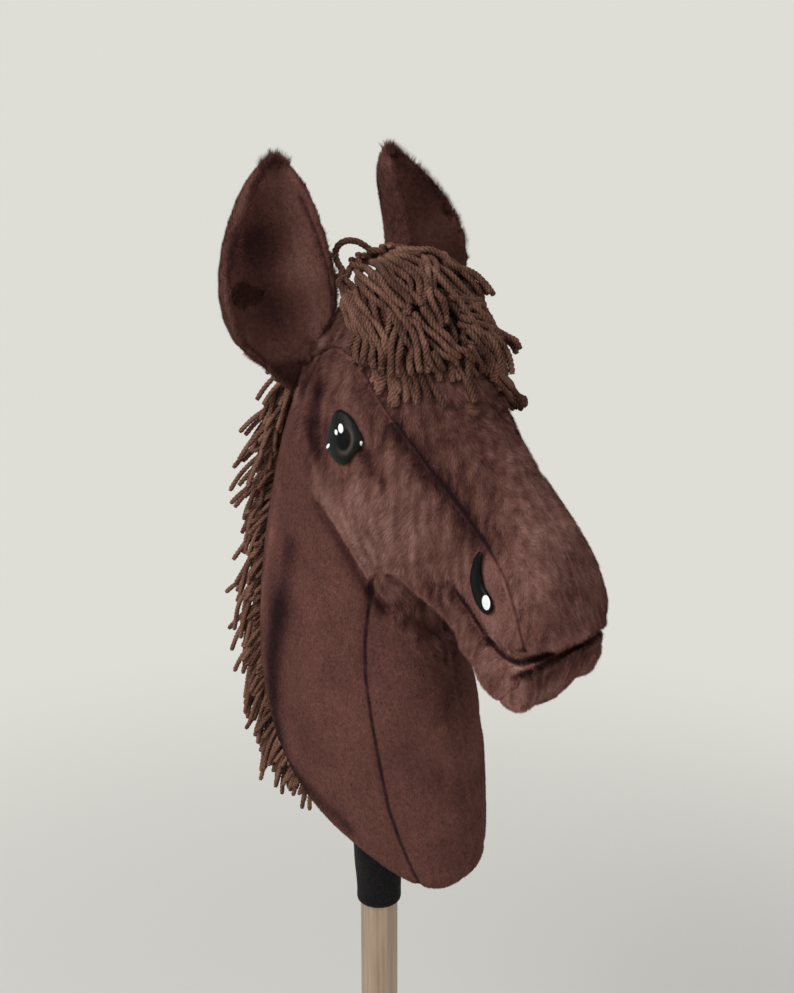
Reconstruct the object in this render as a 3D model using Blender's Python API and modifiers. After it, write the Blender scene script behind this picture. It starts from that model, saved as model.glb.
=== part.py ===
"""A hobby horse: a plush horse's head, stuffed and sewn, on a wooden stick.

Metres, +Z up. The horse looks along -Y and its right side is at -X. The
origin is the centre of the stick's lower end. The head is drawn in its own
side view, in millimetres forward of the stick's axis and above the rim of
the cuff, and stands on the stick at STICK_SHOWING.
"""

import math
from collections import namedtuple

import bmesh
import bpy
from mathutils import Matrix, Vector
from mathutils.bvhtree import BVHTree

MM = 0.001

# Stick, cuff and the sleeve that takes the stick
STICK_DIAMETER = 25.0
STICK_SHOWING = 450.0
STICK_IN_HEAD = 260.0
STICK_CHAMFER = 1.5
STICK_SIDES = 48
STICK_END_GAP = 0.4
CUFF_CLEARANCE = 0.35
CUFF_HEIGHT = 80.0
CUFF_GRIP = 13.0
CUFF_GRIP_WALL = 1.7
CUFF_TOP_RADIUS = 20.8
CUFF_FULL_HEIGHT = CUFF_HEIGHT - 8.0
CUFF_WALL = 1.6
CUFF_SIDES = 28
SLEEVE_CLEARANCE = 0.5
SLEEVE_WALL = 1.5
SLEEVE_SIDES = 24

# Cloth and filling
PLUSH_THICKNESS = 2.0
SEAM_GAP = 0.45 * PLUSH_THICKNESS
LAYER_GAP = 0.35

# Head
HEAD_DRAWN_HEIGHT = 430.0
HEAD_HEIGHT = 430.0
SIZE = HEAD_HEIGHT / HEAD_DRAWN_HEIGHT
# The cloth and the filling are divided at other places, so their flats need more room on a bigger head
FILLING_GAP = 1.0 * SIZE ** 2
MOUTH_GAP = 8.0
MOUTH_EASE = 0.25
LIP_BULGE = 2.5
LIP_TUCK = 0.985
NOSE_CAP_SIZE = 0.75
NOSE_CAP_DEPTH = 3.0
LINING_THICKNESS = 1.5
BASE_INSET = 2.4
BASE_SAG = 2.0
EAR_THICKNESS = 2.2
EAR_FLEX = 12.0
EAR_CLOTH_GAP = 0.5
EAR_SEAT_GAP = 0.5
EYE_HEIGHT = 32.0
EYE_DOME = 3.4
NOSTRIL_HEIGHT = 35.5
NOSTRIL_DOME = 1.8
TRIM_GAP = 0.6
TAPE_WIDTH = 12.0
TAPE_THICKNESS = 1.6
MANE_REACH = 42.0
MANE_HALF_THICKNESS = 13.0
MANE_LEAN = 5.0
MANE_DROOP = 9.0
MANE_LOCKS = 22
FORELOCK_THICKNESS = 18.0
FORELOCK_LOCKS = 11

# Cross-sections of the head and neck from the neck's lower edge to the nose.
# outer: the point on the back of the neck, poll or nose, as (forward, up).
# inner: the point under it on the throat or jaw. widest: how far from inner
# to outer the section is widest. The powers square the section off.
Section = namedtuple("Section", "outer inner half_width widest outer_power inner_power")
SECTIONS = [
    Section((-38, 78), (68, 47), 31, 0.45, 2.2, 3.0),
    Section((-55, 87), (76, 58), 40, 0.45, 2.2, 2.9),
    Section((-78, 115), (76, 98), 49, 0.45, 2.1, 2.5),
    Section((-92, 160), (71, 150), 53, 0.45, 2.0, 2.4),
    Section((-92, 210), (59, 200), 52, 0.45, 2.0, 2.3),
    Section((-84, 262), (52, 229), 50, 0.48, 2.0, 2.2),
    Section((-70, 315), (45, 242), 50, 0.50, 2.0, 2.1),
    Section((-50, 362), (44, 248), 52, 0.50, 2.1, 2.0),
    Section((-24, 404), (49, 247), 55, 0.48, 2.2, 2.0),
    Section((10, 430), (60, 237), 56, 0.48, 2.3, 2.0),
    Section((44, 414), (75, 225), 48, 0.48, 2.3, 2.0),
    Section((72, 382), (89, 211), 38, 0.50, 2.3, 2.1),
    Section((98, 345), (101, 201), 34, 0.52, 2.3, 2.2),
    Section((124, 313), (111, 194), 38, 0.55, 2.5, 2.5),
    Section((142, 287), (119, 191), 40, 0.58, 2.6, 2.8),
    Section((151, 264), (128, 192), 39, 0.60, 2.6, 3.0),
]
NOSE = len(SECTIONS) - 1.0

# Places along the head, counted in sections, and round it, in degrees from
# the middle of the back, poll and nose (0) to the middle of the throat (180)
POLL_POINT = 6.7
HEAD_SPLIT = 7.45
CREASE_SEAM = 8.2
GUSSET_SEAM = [
    (6.7, 2), (7.1, 24), (7.5, 39), (8.4, 45), (9.2, 57), (9.9, 68),
    (11.0, 72), (12.0, 71), (13.0, 69), (13.6, 75), (14.2, 84), (15.0, 90),
]
UNDER_SEAM = [
    (0.0, 131), (1.0, 128), (2.1, 121), (3.6, 119), (4.5, 123), (5.7, 132),
    (7.2, 140), (8.5, 146), (11.0, 144), (13.0, 138), (14.0, 130), (14.4, 116),
    (15.0, 101),
]

# Mouth line in side view from its corner to past the nose, and how far the
# lips come forward and how high they are, and how far back they curve at the sides
MOUTH_LINE = [(83, 274), (94, 256), (107, 242), (122, 236.5), (141, 236.5), (165, 238)]
Lip = namedtuple("Lip", "forward up setback")
UPPER_LIP = Lip(154, 240, 10.0)
LOWER_LIP = Lip(149, 232, 5.0)
LIP_CORNER = 0.06 * PLUSH_THICKNESS

# Ear: height above the cuff's rim, how far the middle of its mouth lies to
# the side and forward, the mouth's width and the depth of the cup
EarSection = namedtuple("EarSection", "up side forward width depth")
EAR_SECTIONS = [
    EarSection(364, 43, -24, 10, 4),
    EarSection(382, 54, -17, 36, 13),
    EarSection(401, 65, -10, 65, 24),
    EarSection(426, 70, -7, 77, 31),
    EarSection(452, 68, -11, 67, 30),
    EarSection(476, 60, -19, 45, 24),
    EarSection(489, 54, -26, 26, 14),
    EarSection(497, 50, -30, 9, 5),
]
EAR_TURN = 10.0
EAR_SEAM = ((8.45, 41), (7.55, 48))

# Eye and nostril outlines in their own plane, as shares of their height:
# x towards the nose, y up
EYE_PLACE = (8.65, 82)
EYE_CENTRE = (0.0, -0.02)
EYE_OUTLINE = [
    (-0.05, 0.51), (0.12, 0.46), (0.28, 0.33), (0.39, 0.17), (0.47, 0.01), (0.41, -0.13),
    (0.28, -0.28), (0.17, -0.43), (0.05, -0.49), (-0.10, -0.49), (-0.24, -0.41),
    (-0.43, -0.23), (-0.39, -0.06), (-0.32, 0.14), (-0.24, 0.38), (-0.14, 0.48),
]
NOSTRIL_PLACE = (12.5, 88.5)
NOSTRIL_CENTRE = (-0.05, -0.12)
NOSTRIL_OUTLINE = [
    (-0.09, 0.51), (0.0, 0.51), (0.0, 0.36), (0.0, 0.18), (0.07, -0.02), (0.17, -0.10),
    (0.27, -0.18), (0.32, -0.29), (0.29, -0.39), (0.19, -0.47), (0.07, -0.47), (-0.05, -0.40),
    (-0.14, -0.30), (-0.20, -0.17), (-0.24, 0.0), (-0.22, 0.18), (-0.17, 0.36),
]

# Mane: where it starts and ends on the back of the neck, counted in sections,
# its reach at both ends and the step to the full one as shares of MANE_REACH,
# and the fringe's outline as (share of half its thickness, share of its reach)
MANE_SPAN = (0.95, 7.9)
MANE_TAPE_MARGIN = 0.1
MANE_TAPE_COLUMNS = 5
MANE_LOWER_END = 0.6
MANE_UPPER_END = 0.78
MANE_END_STEP = 0.07
MANE_OUTLINE = [
    (-0.62, 0.0), (-1.0, 0.22), (-1.1, 0.5), (-0.8, 0.8), (-0.1, 1.0),
    (0.75, 0.93), (1.15, 0.62), (1.05, 0.3), (0.62, 0.0), (0.0, 0.0),
]

# Locks of both fringes: how much each tapers, how much they differ, and the
# angle in radians from one to the next by which they do
LOCK_TAPER = 0.24
LOCK_VARIES = 0.05
LOCK_TURN = 2.3

# Forelock: places along the head are counted in sections and places round it
# are in degrees. It hangs furthest at FORELOCK_MIDDLE. The underside is shares
# of its length, and the outside (share of length, share of thickness).
FORELOCK_TAPE = (8.78, 9.1)
FORELOCK_TAPE_HALF = 24.0
FORELOCK_TAPE_ROWS, FORELOCK_TAPE_COLUMNS = 3, 13
FORELOCK_BACK = 8.72
FORELOCK_BACK_RISE = 1.0
FORELOCK_SIDES = (-64, 59)
FORELOCK_MIDDLE = -8.0
FORELOCK_FRONT = 11.0
FORELOCK_SIDE = 60.0
FORELOCK_SIDE_FRONT = 10.4
FORELOCK_END_RISE = 0.3
FORELOCK_UNEVEN = 0.2
FORELOCK_LOCK_POINT = 0.12
FORELOCK_EDGE = 3.0
FORELOCK_UNDER = (0.0, 0.09, 0.18, 0.36, 0.58, 0.8, 1.0)
FORELOCK_OVER = [(1.0, 0.3), (0.86, 0.75), (0.62, 0.95), (0.38, 1.0), (0.18, 0.88), (0.0, 0.42)]

# How finely each form is divided
PANEL_COLUMNS = 10
GUSSET_COLUMNS = 10
UNDER_COLUMNS = 8
FILLING_SIDES = 28
BASE_SIDES = 32
EAR_ROWS, EAR_COLUMNS = 15, 11
ROWS_IN_A_LOCK = 4


def interpolate(values, where):
    """Catmull-Rom curve through rows of numbers, at a place counted in rows."""
    last = len(values) - 1
    index = min(max(int(math.floor(where)), 0), last - 1)
    part = where - index
    before, here, after, beyond = (values[min(max(index + k, 0), last)] for k in (-1, 0, 1, 2))
    if index == 0:
        before = [2 * a - b for a, b in zip(here, after)]
    if index == last - 1:
        beyond = [2 * b - a for a, b in zip(here, after)]
    return [
        0.5 * (
            2 * p1 + (p2 - p0) * part
            + (2 * p0 - 5 * p1 + 4 * p2 - p3) * part ** 2
            + (3 * p1 - p0 - 3 * p2 + p3) * part ** 3
        )
        for p0, p1, p2, p3 in zip(before, here, after, beyond)
    ]


def between(pairs, where):
    """Straight-line reading of a list of (place, value) pairs."""
    for (x0, y0), (x1, y1) in zip(pairs, pairs[1:]):
        if where <= x1:
            return y0 + (y1 - y0) * (where - x0) / (x1 - x0)
    return pairs[-1][1]


def in_world(side, forward, up):
    """A point of the head's own drawing, in metres in the world."""
    return Vector((side * SIZE, -forward * SIZE, STICK_SHOWING + up * SIZE)) * MM


def skin(along, around):
    """The outer surface of the head: around is in degrees, positive on the horse's right."""
    rows = [s.outer + s.inner + tuple(s[2:]) for s in SECTIONS]
    o_s, o_z, i_s, i_z, half_width, widest, o_power, i_power = interpolate(rows, along)
    middle_s = i_s + (o_s - i_s) * widest
    middle_z = i_z + (o_z - i_z) * widest
    cosine, sine = math.cos(math.radians(around)), math.sin(math.radians(around))
    end_s, end_z, power = (o_s, o_z, o_power) if cosine > 0 else (i_s, i_z, i_power)
    reach = abs(cosine) ** (2 / power)
    out = math.copysign(abs(sine) ** (2 / power), sine)
    return in_world(
        -half_width * out,
        middle_s + (end_s - middle_s) * reach,
        middle_z + (end_z - middle_z) * reach,
    )


def normal(along, around):
    """The outward direction of the skin."""
    low, high = max(along - 0.05, 0), min(along + 0.05, NOSE)
    down = skin(high, around) - skin(low, around)
    across = skin(along, around + 1.5) - skin(along, around - 1.5)
    return across.cross(down).normalized()


def off_skin(along, around, height):
    """A point at a height in millimetres over the skin, or under it where negative."""
    return skin(along, around) + normal(along, around) * height * MM


def degrees_for(along, around, distance):
    """How many degrees round the section make this distance in millimetres."""
    return distance * MM / (skin(along, around + 0.5) - skin(along, around - 0.5)).length


def spread(first, last, count):
    return [first + (last - first) * k / (count - 1) for k in range(count)]


# One set of rows for the cloth and the filling, closer at the jaw and the lips
ROWS = spread(0.0, 6.0, 12) + spread(6.35, 7.75, 9) + spread(8.05, 9.35, 5)
ROWS += spread(9.8, 13.1, 8) + spread(13.45, NOSE, 5)


def seam(places, along):
    """Where a seam lies round the section, with its corners eased."""
    nearby = (-0.16, -0.08, 0.0, 0.08, 0.16)
    return sum(between(places, min(along + step, NOSE)) for step in nearby) / len(nearby)


def seam_allowance(places, along):
    """Half the seam's gap, square to a seam that runs at a slant, in degrees round the section."""
    low, high = max(along - 0.05, 0), min(along + 0.05, NOSE)
    run = skin(high, seam(places, high)) - skin(low, seam(places, low))
    here = seam(places, along)
    across = skin(along, here + 0.5) - skin(along, here - 0.5)
    slant = max(run.cross(across).length / (run.length * across.length), 0.35)
    return SEAM_GAP / 2 * MM / (across.length * slant)


def collection_of(name):
    made = bpy.data.collections.new(name)
    bpy.context.scene.collection.children.link(made)
    return made


def material(name, colour, roughness, metallic=0.0):
    made = bpy.data.materials.new(name)
    made.use_nodes = True
    shader = made.node_tree.nodes["Principled BSDF"]
    shader.inputs["Base Color"].default_value = (*colour, 1)
    shader.inputs["Roughness"].default_value = roughness
    shader.inputs["Metallic"].default_value = metallic
    made.diffuse_color = (*colour, 1)
    return made


def object_from(name, mesh, finish, collection):
    made = bpy.data.objects.new(name, mesh)
    if finish:
        mesh.materials.append(finish)
    collection.objects.link(made)
    return made


def grid_mesh(name, rows, round_section=False, closed_ends=False):
    """Rows of points joined by quads. Round sections close on themselves."""
    bm = bmesh.new()
    loops = [[bm.verts.new(point) for point in row] for row in rows]
    count = len(rows[0])
    columns = count if round_section else count - 1
    for low, high in zip(loops, loops[1:]):
        for k in range(columns):
            following = (k + 1) % count
            bm.faces.new((low[k], low[following], high[following], high[k]))
    if closed_ends:
        bm.faces.new(reversed(loops[0]))
        bm.faces.new(loops[-1])
    mesh = bpy.data.meshes.new(name)
    bm.to_mesh(mesh)
    bm.free()
    mesh.shade_smooth()
    return mesh


def face_out(made):
    """Turns a closed mesh's faces outwards."""
    bm = bmesh.new()
    bm.from_mesh(made.data)
    bmesh.ops.recalc_face_normals(bm, faces=bm.faces)
    bm.to_mesh(made.data)
    bm.free()


def shell(name, rows, thickness, finish, collection, round_section=False):
    """A cloth panel: rows of points on its outer face, given thickness inwards."""
    made = object_from(name, grid_mesh(name, rows, round_section), finish, collection)
    solid = made.modifiers.new("Cloth", "SOLIDIFY")
    solid.thickness = thickness * MM
    solid.offset = -1.0
    return made


def solid_loft(name, rows, finish, collection):
    made = object_from(name, grid_mesh(name, rows, True, True), finish, collection)
    face_out(made)
    return made


def turned(name, profile, sides, finish, collection):
    """A profile of (radius, height) in millimetres, outer side first, turned about Z."""
    bm = bmesh.new()
    points = [bm.verts.new((radius * MM, 0, height * MM)) for radius, height in profile]
    for a, b in zip(points, points[1:]):
        bm.edges.new((a, b))
    if profile[0][0] or profile[-1][0]:
        bm.edges.new((points[-1], points[0]))
    mesh = bpy.data.meshes.new(name)
    bm.to_mesh(mesh)
    bm.free()
    made = object_from(name, mesh, finish, collection)
    screw = made.modifiers.new("Turn", "SCREW")
    screw.steps = screw.render_steps = sides
    screw.use_merge_vertices = True
    screw.merge_threshold = 0.00001
    screw.use_smooth_shade = True
    return made


def cut(made, cutter, operation="DIFFERENCE"):
    boolean = made.modifiers.new(cutter.name, "BOOLEAN")
    boolean.operation = operation
    boolean.object = cutter
    boolean.solver = "EXACT"


def as_cutter(made):
    made.hide_render = True
    made.display_type = "WIRE"
    return made


def add_stick(finish, collection):
    """A turned dowel with a small chamfer at both ends."""
    bm = bmesh.new()
    length = STICK_SHOWING + STICK_IN_HEAD
    bmesh.ops.create_cone(
        bm, cap_ends=True, segments=STICK_SIDES, depth=length * MM,
        radius1=STICK_DIAMETER / 2 * MM, radius2=STICK_DIAMETER / 2 * MM,
        matrix=Matrix.Translation((0, 0, length / 2 * MM)),
    )
    rims = [edge for edge in bm.edges if abs(edge.verts[0].co.z - edge.verts[1].co.z) < MM]
    bmesh.ops.bevel(
        bm, geom=rims, offset=STICK_CHAMFER * MM, segments=2, profile=0.5,
        affect="EDGES", material=-1,
    )
    mesh = bpy.data.meshes.new("stick")
    bm.to_mesh(mesh)
    bm.free()
    return object_from("stick", mesh, finish, collection)


def cuff_radius(height):
    """The cuff's outer radius: snug on the stick, then widening into the neck."""
    grip = STICK_DIAMETER / 2 + CUFF_CLEARANCE + CUFF_GRIP_WALL
    share = (height - CUFF_GRIP) / (CUFF_FULL_HEIGHT - CUFF_GRIP)
    return grip + (CUFF_TOP_RADIUS - grip) * min(max(share, 0), 1)


def add_cuff(finish, collection):
    """The elastic cuff that grips the stick under the neck."""
    bore = STICK_DIAMETER / 2 + CUFF_CLEARANCE
    grip = bore + CUFF_GRIP_WALL
    slope = spread(CUFF_FULL_HEIGHT, CUFF_GRIP, 4)
    outside = [(cuff_radius(h), h) for h in [CUFF_HEIGHT] + slope + [5]]
    rim = [(grip - 0.25, 2), (grip - 0.9, 0.4), (bore + 0.3, 0)]
    inside = [(bore, 0.6), (bore, CUFF_GRIP)]
    widening = slope[-2::-1] + [CUFF_HEIGHT]
    inside += [(max(cuff_radius(h) - CUFF_WALL, bore), h) for h in widening]
    made = turned("stick_cuff", outside + rim + inside, CUFF_SIDES, finish, collection)
    made.location.z = STICK_SHOWING * MM
    return made


def add_sleeve(finish, collection):
    """The blind cloth sleeve in the neck: the stick's top rests in its end."""
    bore = STICK_DIAMETER / 2 + SLEEVE_CLEARANCE
    outer = bore + SLEEVE_WALL
    top = STICK_IN_HEAD + STICK_END_GAP
    bottom = CUFF_HEIGHT + LAYER_GAP
    profile = [
        (0, top + SLEEVE_WALL), (outer - 2, top + SLEEVE_WALL), (outer, top - 1),
        (outer, bottom), (bore, bottom), (bore, top), (0, top),
    ]
    made = turned("stick_sleeve", profile, SLEEVE_SIDES, finish, collection)
    made.location.z = STICK_SHOWING * MM
    return made


def ring_at(along, height, sides=FILLING_SIDES):
    """A closed row of points round the head at a height over its skin."""
    return [off_skin(along, 360 * k / sides, height) for k in range(sides)]


def mouth_wedge(name, reach, collection):
    """A wedge wider than the head along the mouth line, with its point at the corner of the mouth."""
    upper, lower = [], []
    count = len(MOUTH_LINE)
    for k, (forward, up) in enumerate(MOUTH_LINE):
        before, after = MOUTH_LINE[max(k - 1, 0)], MOUTH_LINE[min(k + 1, count - 1)]
        run = Vector((after[0] - before[0], after[1] - before[1])).normalized()
        half = MOUTH_GAP / 2 * min(1.0, k / (count - 1) * 1.6) + reach
        upper.append((forward - run.y * half, up + run.x * half))
        lower.append((forward + run.y * half, up - run.x * half))
        if k == 0:
            point = (forward - run.x * reach * 1.5, up - run.y * reach * 1.5)
    outline = [point] + upper + lower[::-1]
    rows = [[in_world(side, forward, up) for forward, up in outline] for side in (-60, 60)]
    return solid_loft(name, rows, None, collection)


def half_space(name, forwards, helpers):
    """A block on one side of the plane that parts the head's filling from the neck's."""
    outer, inner = skin(HEAD_SPLIT, 0), skin(HEAD_SPLIT, 180)
    along = (outer - inner).normalized()
    across = along.cross(Vector((1, 0, 0))).normalized()
    if across.dot(skin(HEAD_SPLIT + 1, 0) - outer) < 0:
        across.negate()
    side = 1 if forwards else -1
    size = 2 * HEAD_HEIGHT * MM
    turn = Matrix((Vector((1, 0, 0)), along, across)).transposed().to_4x4()
    centre = (outer + inner) / 2 + across * side * (size - LAYER_GAP * MM) / 2
    bm = bmesh.new()
    bmesh.ops.create_cube(bm, size=size, matrix=Matrix.Translation(centre) @ turn)
    bmesh.ops.recalc_face_normals(bm, faces=bm.faces)
    mesh = bpy.data.meshes.new(name)
    bm.to_mesh(mesh)
    bm.free()
    return as_cutter(object_from(name, mesh, None, helpers))


def head_core(name, height, finish, collection, sides=FILLING_SIDES):
    """The whole head and neck as one solid at a height over the skin, or under it."""
    lowest = ring_at(0.0, height - 0.5, sides)
    lift = Vector((0, 0, (2 * PLUSH_THICKNESS + 0.3) * MM))
    nose = ring_at(NOSE - 0.3, height, sides)
    middle = sum(nose, Vector()) / len(nose)
    ahead = Vector((0, -NOSE_CAP_DEPTH * SIZE * MM, 0))
    cap = [middle + (point - middle) * NOSE_CAP_SIZE + ahead for point in nose]
    rows = [[point + lift for point in lowest]]
    rows += [ring_at(along, height, sides) for along in ROWS[2:-1]] + [nose, cap]
    return solid_loft(name, rows, finish, collection)


def add_fillings(cutters, finish, collection, helpers):
    """The stuffing of the neck, and that of the head over it, parted at the throat."""
    under = -PLUSH_THICKNESS - FILLING_GAP
    neck = head_core("neck_stuffing", under, finish, collection)
    head = head_core("head_stuffing", under, finish, collection)
    cut(neck, half_space("above_the_throat", True, helpers))
    cut(neck, cutters["bore"])
    cut(head, half_space("below_the_throat", False, helpers))
    cut(head, cutters["lining_room"])


def add_mouth_lining(finish, cutters, collection, helpers):
    """The folded cloth between the lips, open to the front and both sides."""
    made = mouth_wedge("mouth_lining", MOUTH_EASE + LINING_THICKNESS, collection)
    made.data.materials.append(finish)
    inside = head_core("inside_the_cloth", -PLUSH_THICKNESS - FILLING_GAP, None, helpers)
    cut(made, as_cutter(inside), "INTERSECT")
    cut(made, cutters["mouth"])


def add_side_panel(name, side, finish, cutters, collection):
    """One side of the head and neck, from the back seam and gusset to the throat."""
    rows = []
    for along in ROWS[:-1] + [NOSE - LIP_CORNER]:
        if along > POLL_POINT:
            top = seam(GUSSET_SEAM, along) + seam_allowance(GUSSET_SEAM, along)
        else:
            top = degrees_for(along, 0.0, SEAM_GAP / 2)
        low = seam(UNDER_SEAM, along) - seam_allowance(UNDER_SEAM, along)
        rows.append([skin(along, -around) for around in spread(low, top, PANEL_COLUMNS)])
    made = shell(name, rows, PLUSH_THICKNESS, finish, collection)
    if side > 0:
        made.data.transform(Matrix.Scale(-1, 4, (1, 0, 0)))
        made.data.flip_normals()
    cut(made, cutters["mouth"])
    return made


def lip_rows(columns, lip):
    """Rows from the nose's last section to a lip, over the front of the muzzle."""
    rows = []
    ring = [skin(NOSE, around) for around in columns]
    half_width = SECTIONS[-1].half_width * SIZE * MM
    for share in (0.3, 0.65, 1.0):
        row = []
        for point in ring:
            bow = (point.x / half_width) ** 2
            end = in_world(0, lip.forward - lip.setback * bow, lip.up)
            end.x = point.x * LIP_TUCK
            moved = point.lerp(end, share)
            moved.y -= LIP_BULGE * SIZE * MM * math.sin(math.pi * share) * (1 - bow * 0.7)
            row.append(moved)
        rows.append(row)
    return rows


def add_forehead_gusset(finish, collection):
    """The strip between the two sides, from its point behind the poll to the upper lip."""
    rows = []
    for along in [row for row in ROWS if row > POLL_POINT]:
        edge = seam(GUSSET_SEAM, along) - seam_allowance(GUSSET_SEAM, along)
        columns = spread(-edge, edge, GUSSET_COLUMNS)
        rows.append([skin(along, around) for around in columns])
    rows += lip_rows(columns, UPPER_LIP)
    return shell("forehead_gusset", rows, PLUSH_THICKNESS, finish, collection)


def under_rows(rows_at):
    rows = []
    for along in rows_at:
        edge = seam(UNDER_SEAM, along) + seam_allowance(UNDER_SEAM, along)
        rows.append([skin(along, around) for around in spread(edge, 360 - edge, UNDER_COLUMNS)])
    return rows


def add_chin_gusset(finish, collection):
    """The strip under the jaw, from the throat to the lower lip."""
    rows = under_rows([row for row in ROWS if row > CREASE_SEAM])
    edge = seam(UNDER_SEAM, NOSE) + seam_allowance(UNDER_SEAM, NOSE)
    rows += lip_rows(spread(edge, 360 - edge, UNDER_COLUMNS), LOWER_LIP)
    return shell("chin_gusset", rows, PLUSH_THICKNESS, finish, collection)


def add_throat_gusset(finish, collection):
    """The strip down the front of the neck, folded where the jaw meets the throat."""
    rows = under_rows([row for row in ROWS if row < CREASE_SEAM])
    return shell("throat_gusset", rows, PLUSH_THICKNESS, finish, collection)


def add_neck_base(cutters, finish, collection):
    """The cloth that closes the neck round the cuff."""
    edge = ring_at(0.0, 0.0, BASE_SIDES)
    middle = sum(edge, Vector()) / BASE_SIDES
    rows = []
    for share in (0.0, 0.35, 0.7, 1.0):
        row = []
        for point in edge:
            rim = point + (middle - point).normalized() * BASE_INSET * MM
            hole = Vector((rim.x, rim.y, 0)).normalized() * (CUFF_TOP_RADIUS - 3) * MM
            slope = edge[0] - edge[BASE_SIDES // 2]
            hole.z = middle.z + slope.z * (hole.y - middle.y) / slope.y
            moved = rim.lerp(hole, share)
            moved.z -= BASE_SAG * MM * math.sin(math.pi * share)
            row.append(moved)
        rows.append(row[::-1])
    made = shell("neck_base", rows, PLUSH_THICKNESS, finish, collection, round_section=True)
    cut(made, cutters["bore"])


def ear_edge(where, side, inset, columns):
    """Half an oval round the ear's cup, from its inner edge to its outer one."""
    up, out, forward, width, depth = interpolate(EAR_SECTIONS, where)
    turn = math.radians(EAR_TURN)
    across = Vector((side * math.cos(turn), math.sin(turn), 0))
    ahead = Vector((side * math.sin(turn), -math.cos(turn), 0))
    middle = Vector((side * out, -forward, up))
    points = []
    for angle in spread(0, math.pi, columns):
        reach = across * (width / 2 - inset) * -math.cos(angle)
        back = ahead * max(depth - inset, 0.5) * -math.sin(angle)
        place = middle + reach + back
        points.append(in_world(place.x, -place.y, place.z))
    return points


def add_ear_cloth(name, side, inset, first, last, finish, cutters, collection):
    """One of the two layers of an ear, trimmed to the head at rest and flexed either way."""
    rows = []
    for where in spread(0, len(EAR_SECTIONS) - 1, EAR_ROWS):
        if not first <= where <= last:
            continue
        outer = ear_edge(where, side, inset, EAR_COLUMNS)
        inner = ear_edge(where, side, inset + EAR_THICKNESS, EAR_COLUMNS)
        rows.append(outer + inner[::-1])
    made = solid_loft(name, rows, finish, collection)
    for cutter in cutters:
        cut(made, cutter)
    return made


def ear_hinge(side):
    """Two points of the seam that an ear bends about, front and back."""
    return [off_skin(along, -side * around, 1.0) for along, around in EAR_SEAM]


def set_origin(made, place):
    """Moves an object's origin, and leaves its shape where it is."""
    made.data.transform(Matrix.Translation(-place))
    made.location = place


def add_ears(finish, inner_finish, collection, helpers):
    for name, side in (("right", -1), ("left", 1)):
        front, back = ear_hinge(side)
        clearances = []
        for step, share in enumerate((0, -1, -0.5, 0.5, 1)):
            label = "head_past_" + name + "_ear_" + str(step)
            clear = head_core(label, EAR_SEAT_GAP, None, helpers, 2 * FILLING_SIDES)
            turn = Matrix.Rotation(math.radians(EAR_FLEX * share), 4, (back - front).normalized())
            clear.data.transform(Matrix.Translation(front) @ turn @ Matrix.Translation(-front))
            clearances.append(as_cutter(clear))
        last = len(EAR_SECTIONS) - 1.0
        outer = add_ear_cloth(
            "ear_outer_" + name, side, 0.0, 0.0, last, finish, clearances, collection,
        )
        inner = add_ear_cloth(
            "ear_inner_" + name, side, EAR_THICKNESS + EAR_CLOTH_GAP, 0.9, last - 0.6,
            inner_finish, clearances, collection,
        )
        set_origin(outer, (front + back) / 2)
        set_origin(inner, (front + back) / 2)


def add_patch(name, side, place, centre, outline, height, dome, panel, finish, collection):
    """A domed, glossy piece sewn on the side of the head, following the cloth under it."""
    along, around = place
    middle, out = skin(along, side * around), normal(along, side * around)
    up = (Vector((0, 0, 1)) - out * out.z).normalized()
    ahead = up.cross(out)
    if ahead.y > 0:
        ahead.negate()
    surface = BVHTree.FromObject(panel, bpy.context.evaluated_depsgraph_get())
    rows = []
    levels = [(0.15, 0.0), (0.45, 0.0), (0.75, 0.0), (1.0, 0.0)]
    levels += [(share, 0.7 + dome * math.sqrt(1 - share ** 2)) for share in (1.0, 0.93, 0.75, 0.45, 0.15)]
    for share, rise in levels:
        row = []
        for x, y in outline:
            x = centre[0] + (x - centre[0]) * share
            y = centre[1] + (y - centre[1]) * share
            start = middle + (ahead * x + up * y) * height * MM + out * 30 * MM
            found = surface.ray_cast(start, -out)[0]
            row.append(found + out * (TRIM_GAP + rise) * MM)
        rows.append(row)
    return solid_loft(name, rows, finish, collection)


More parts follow.
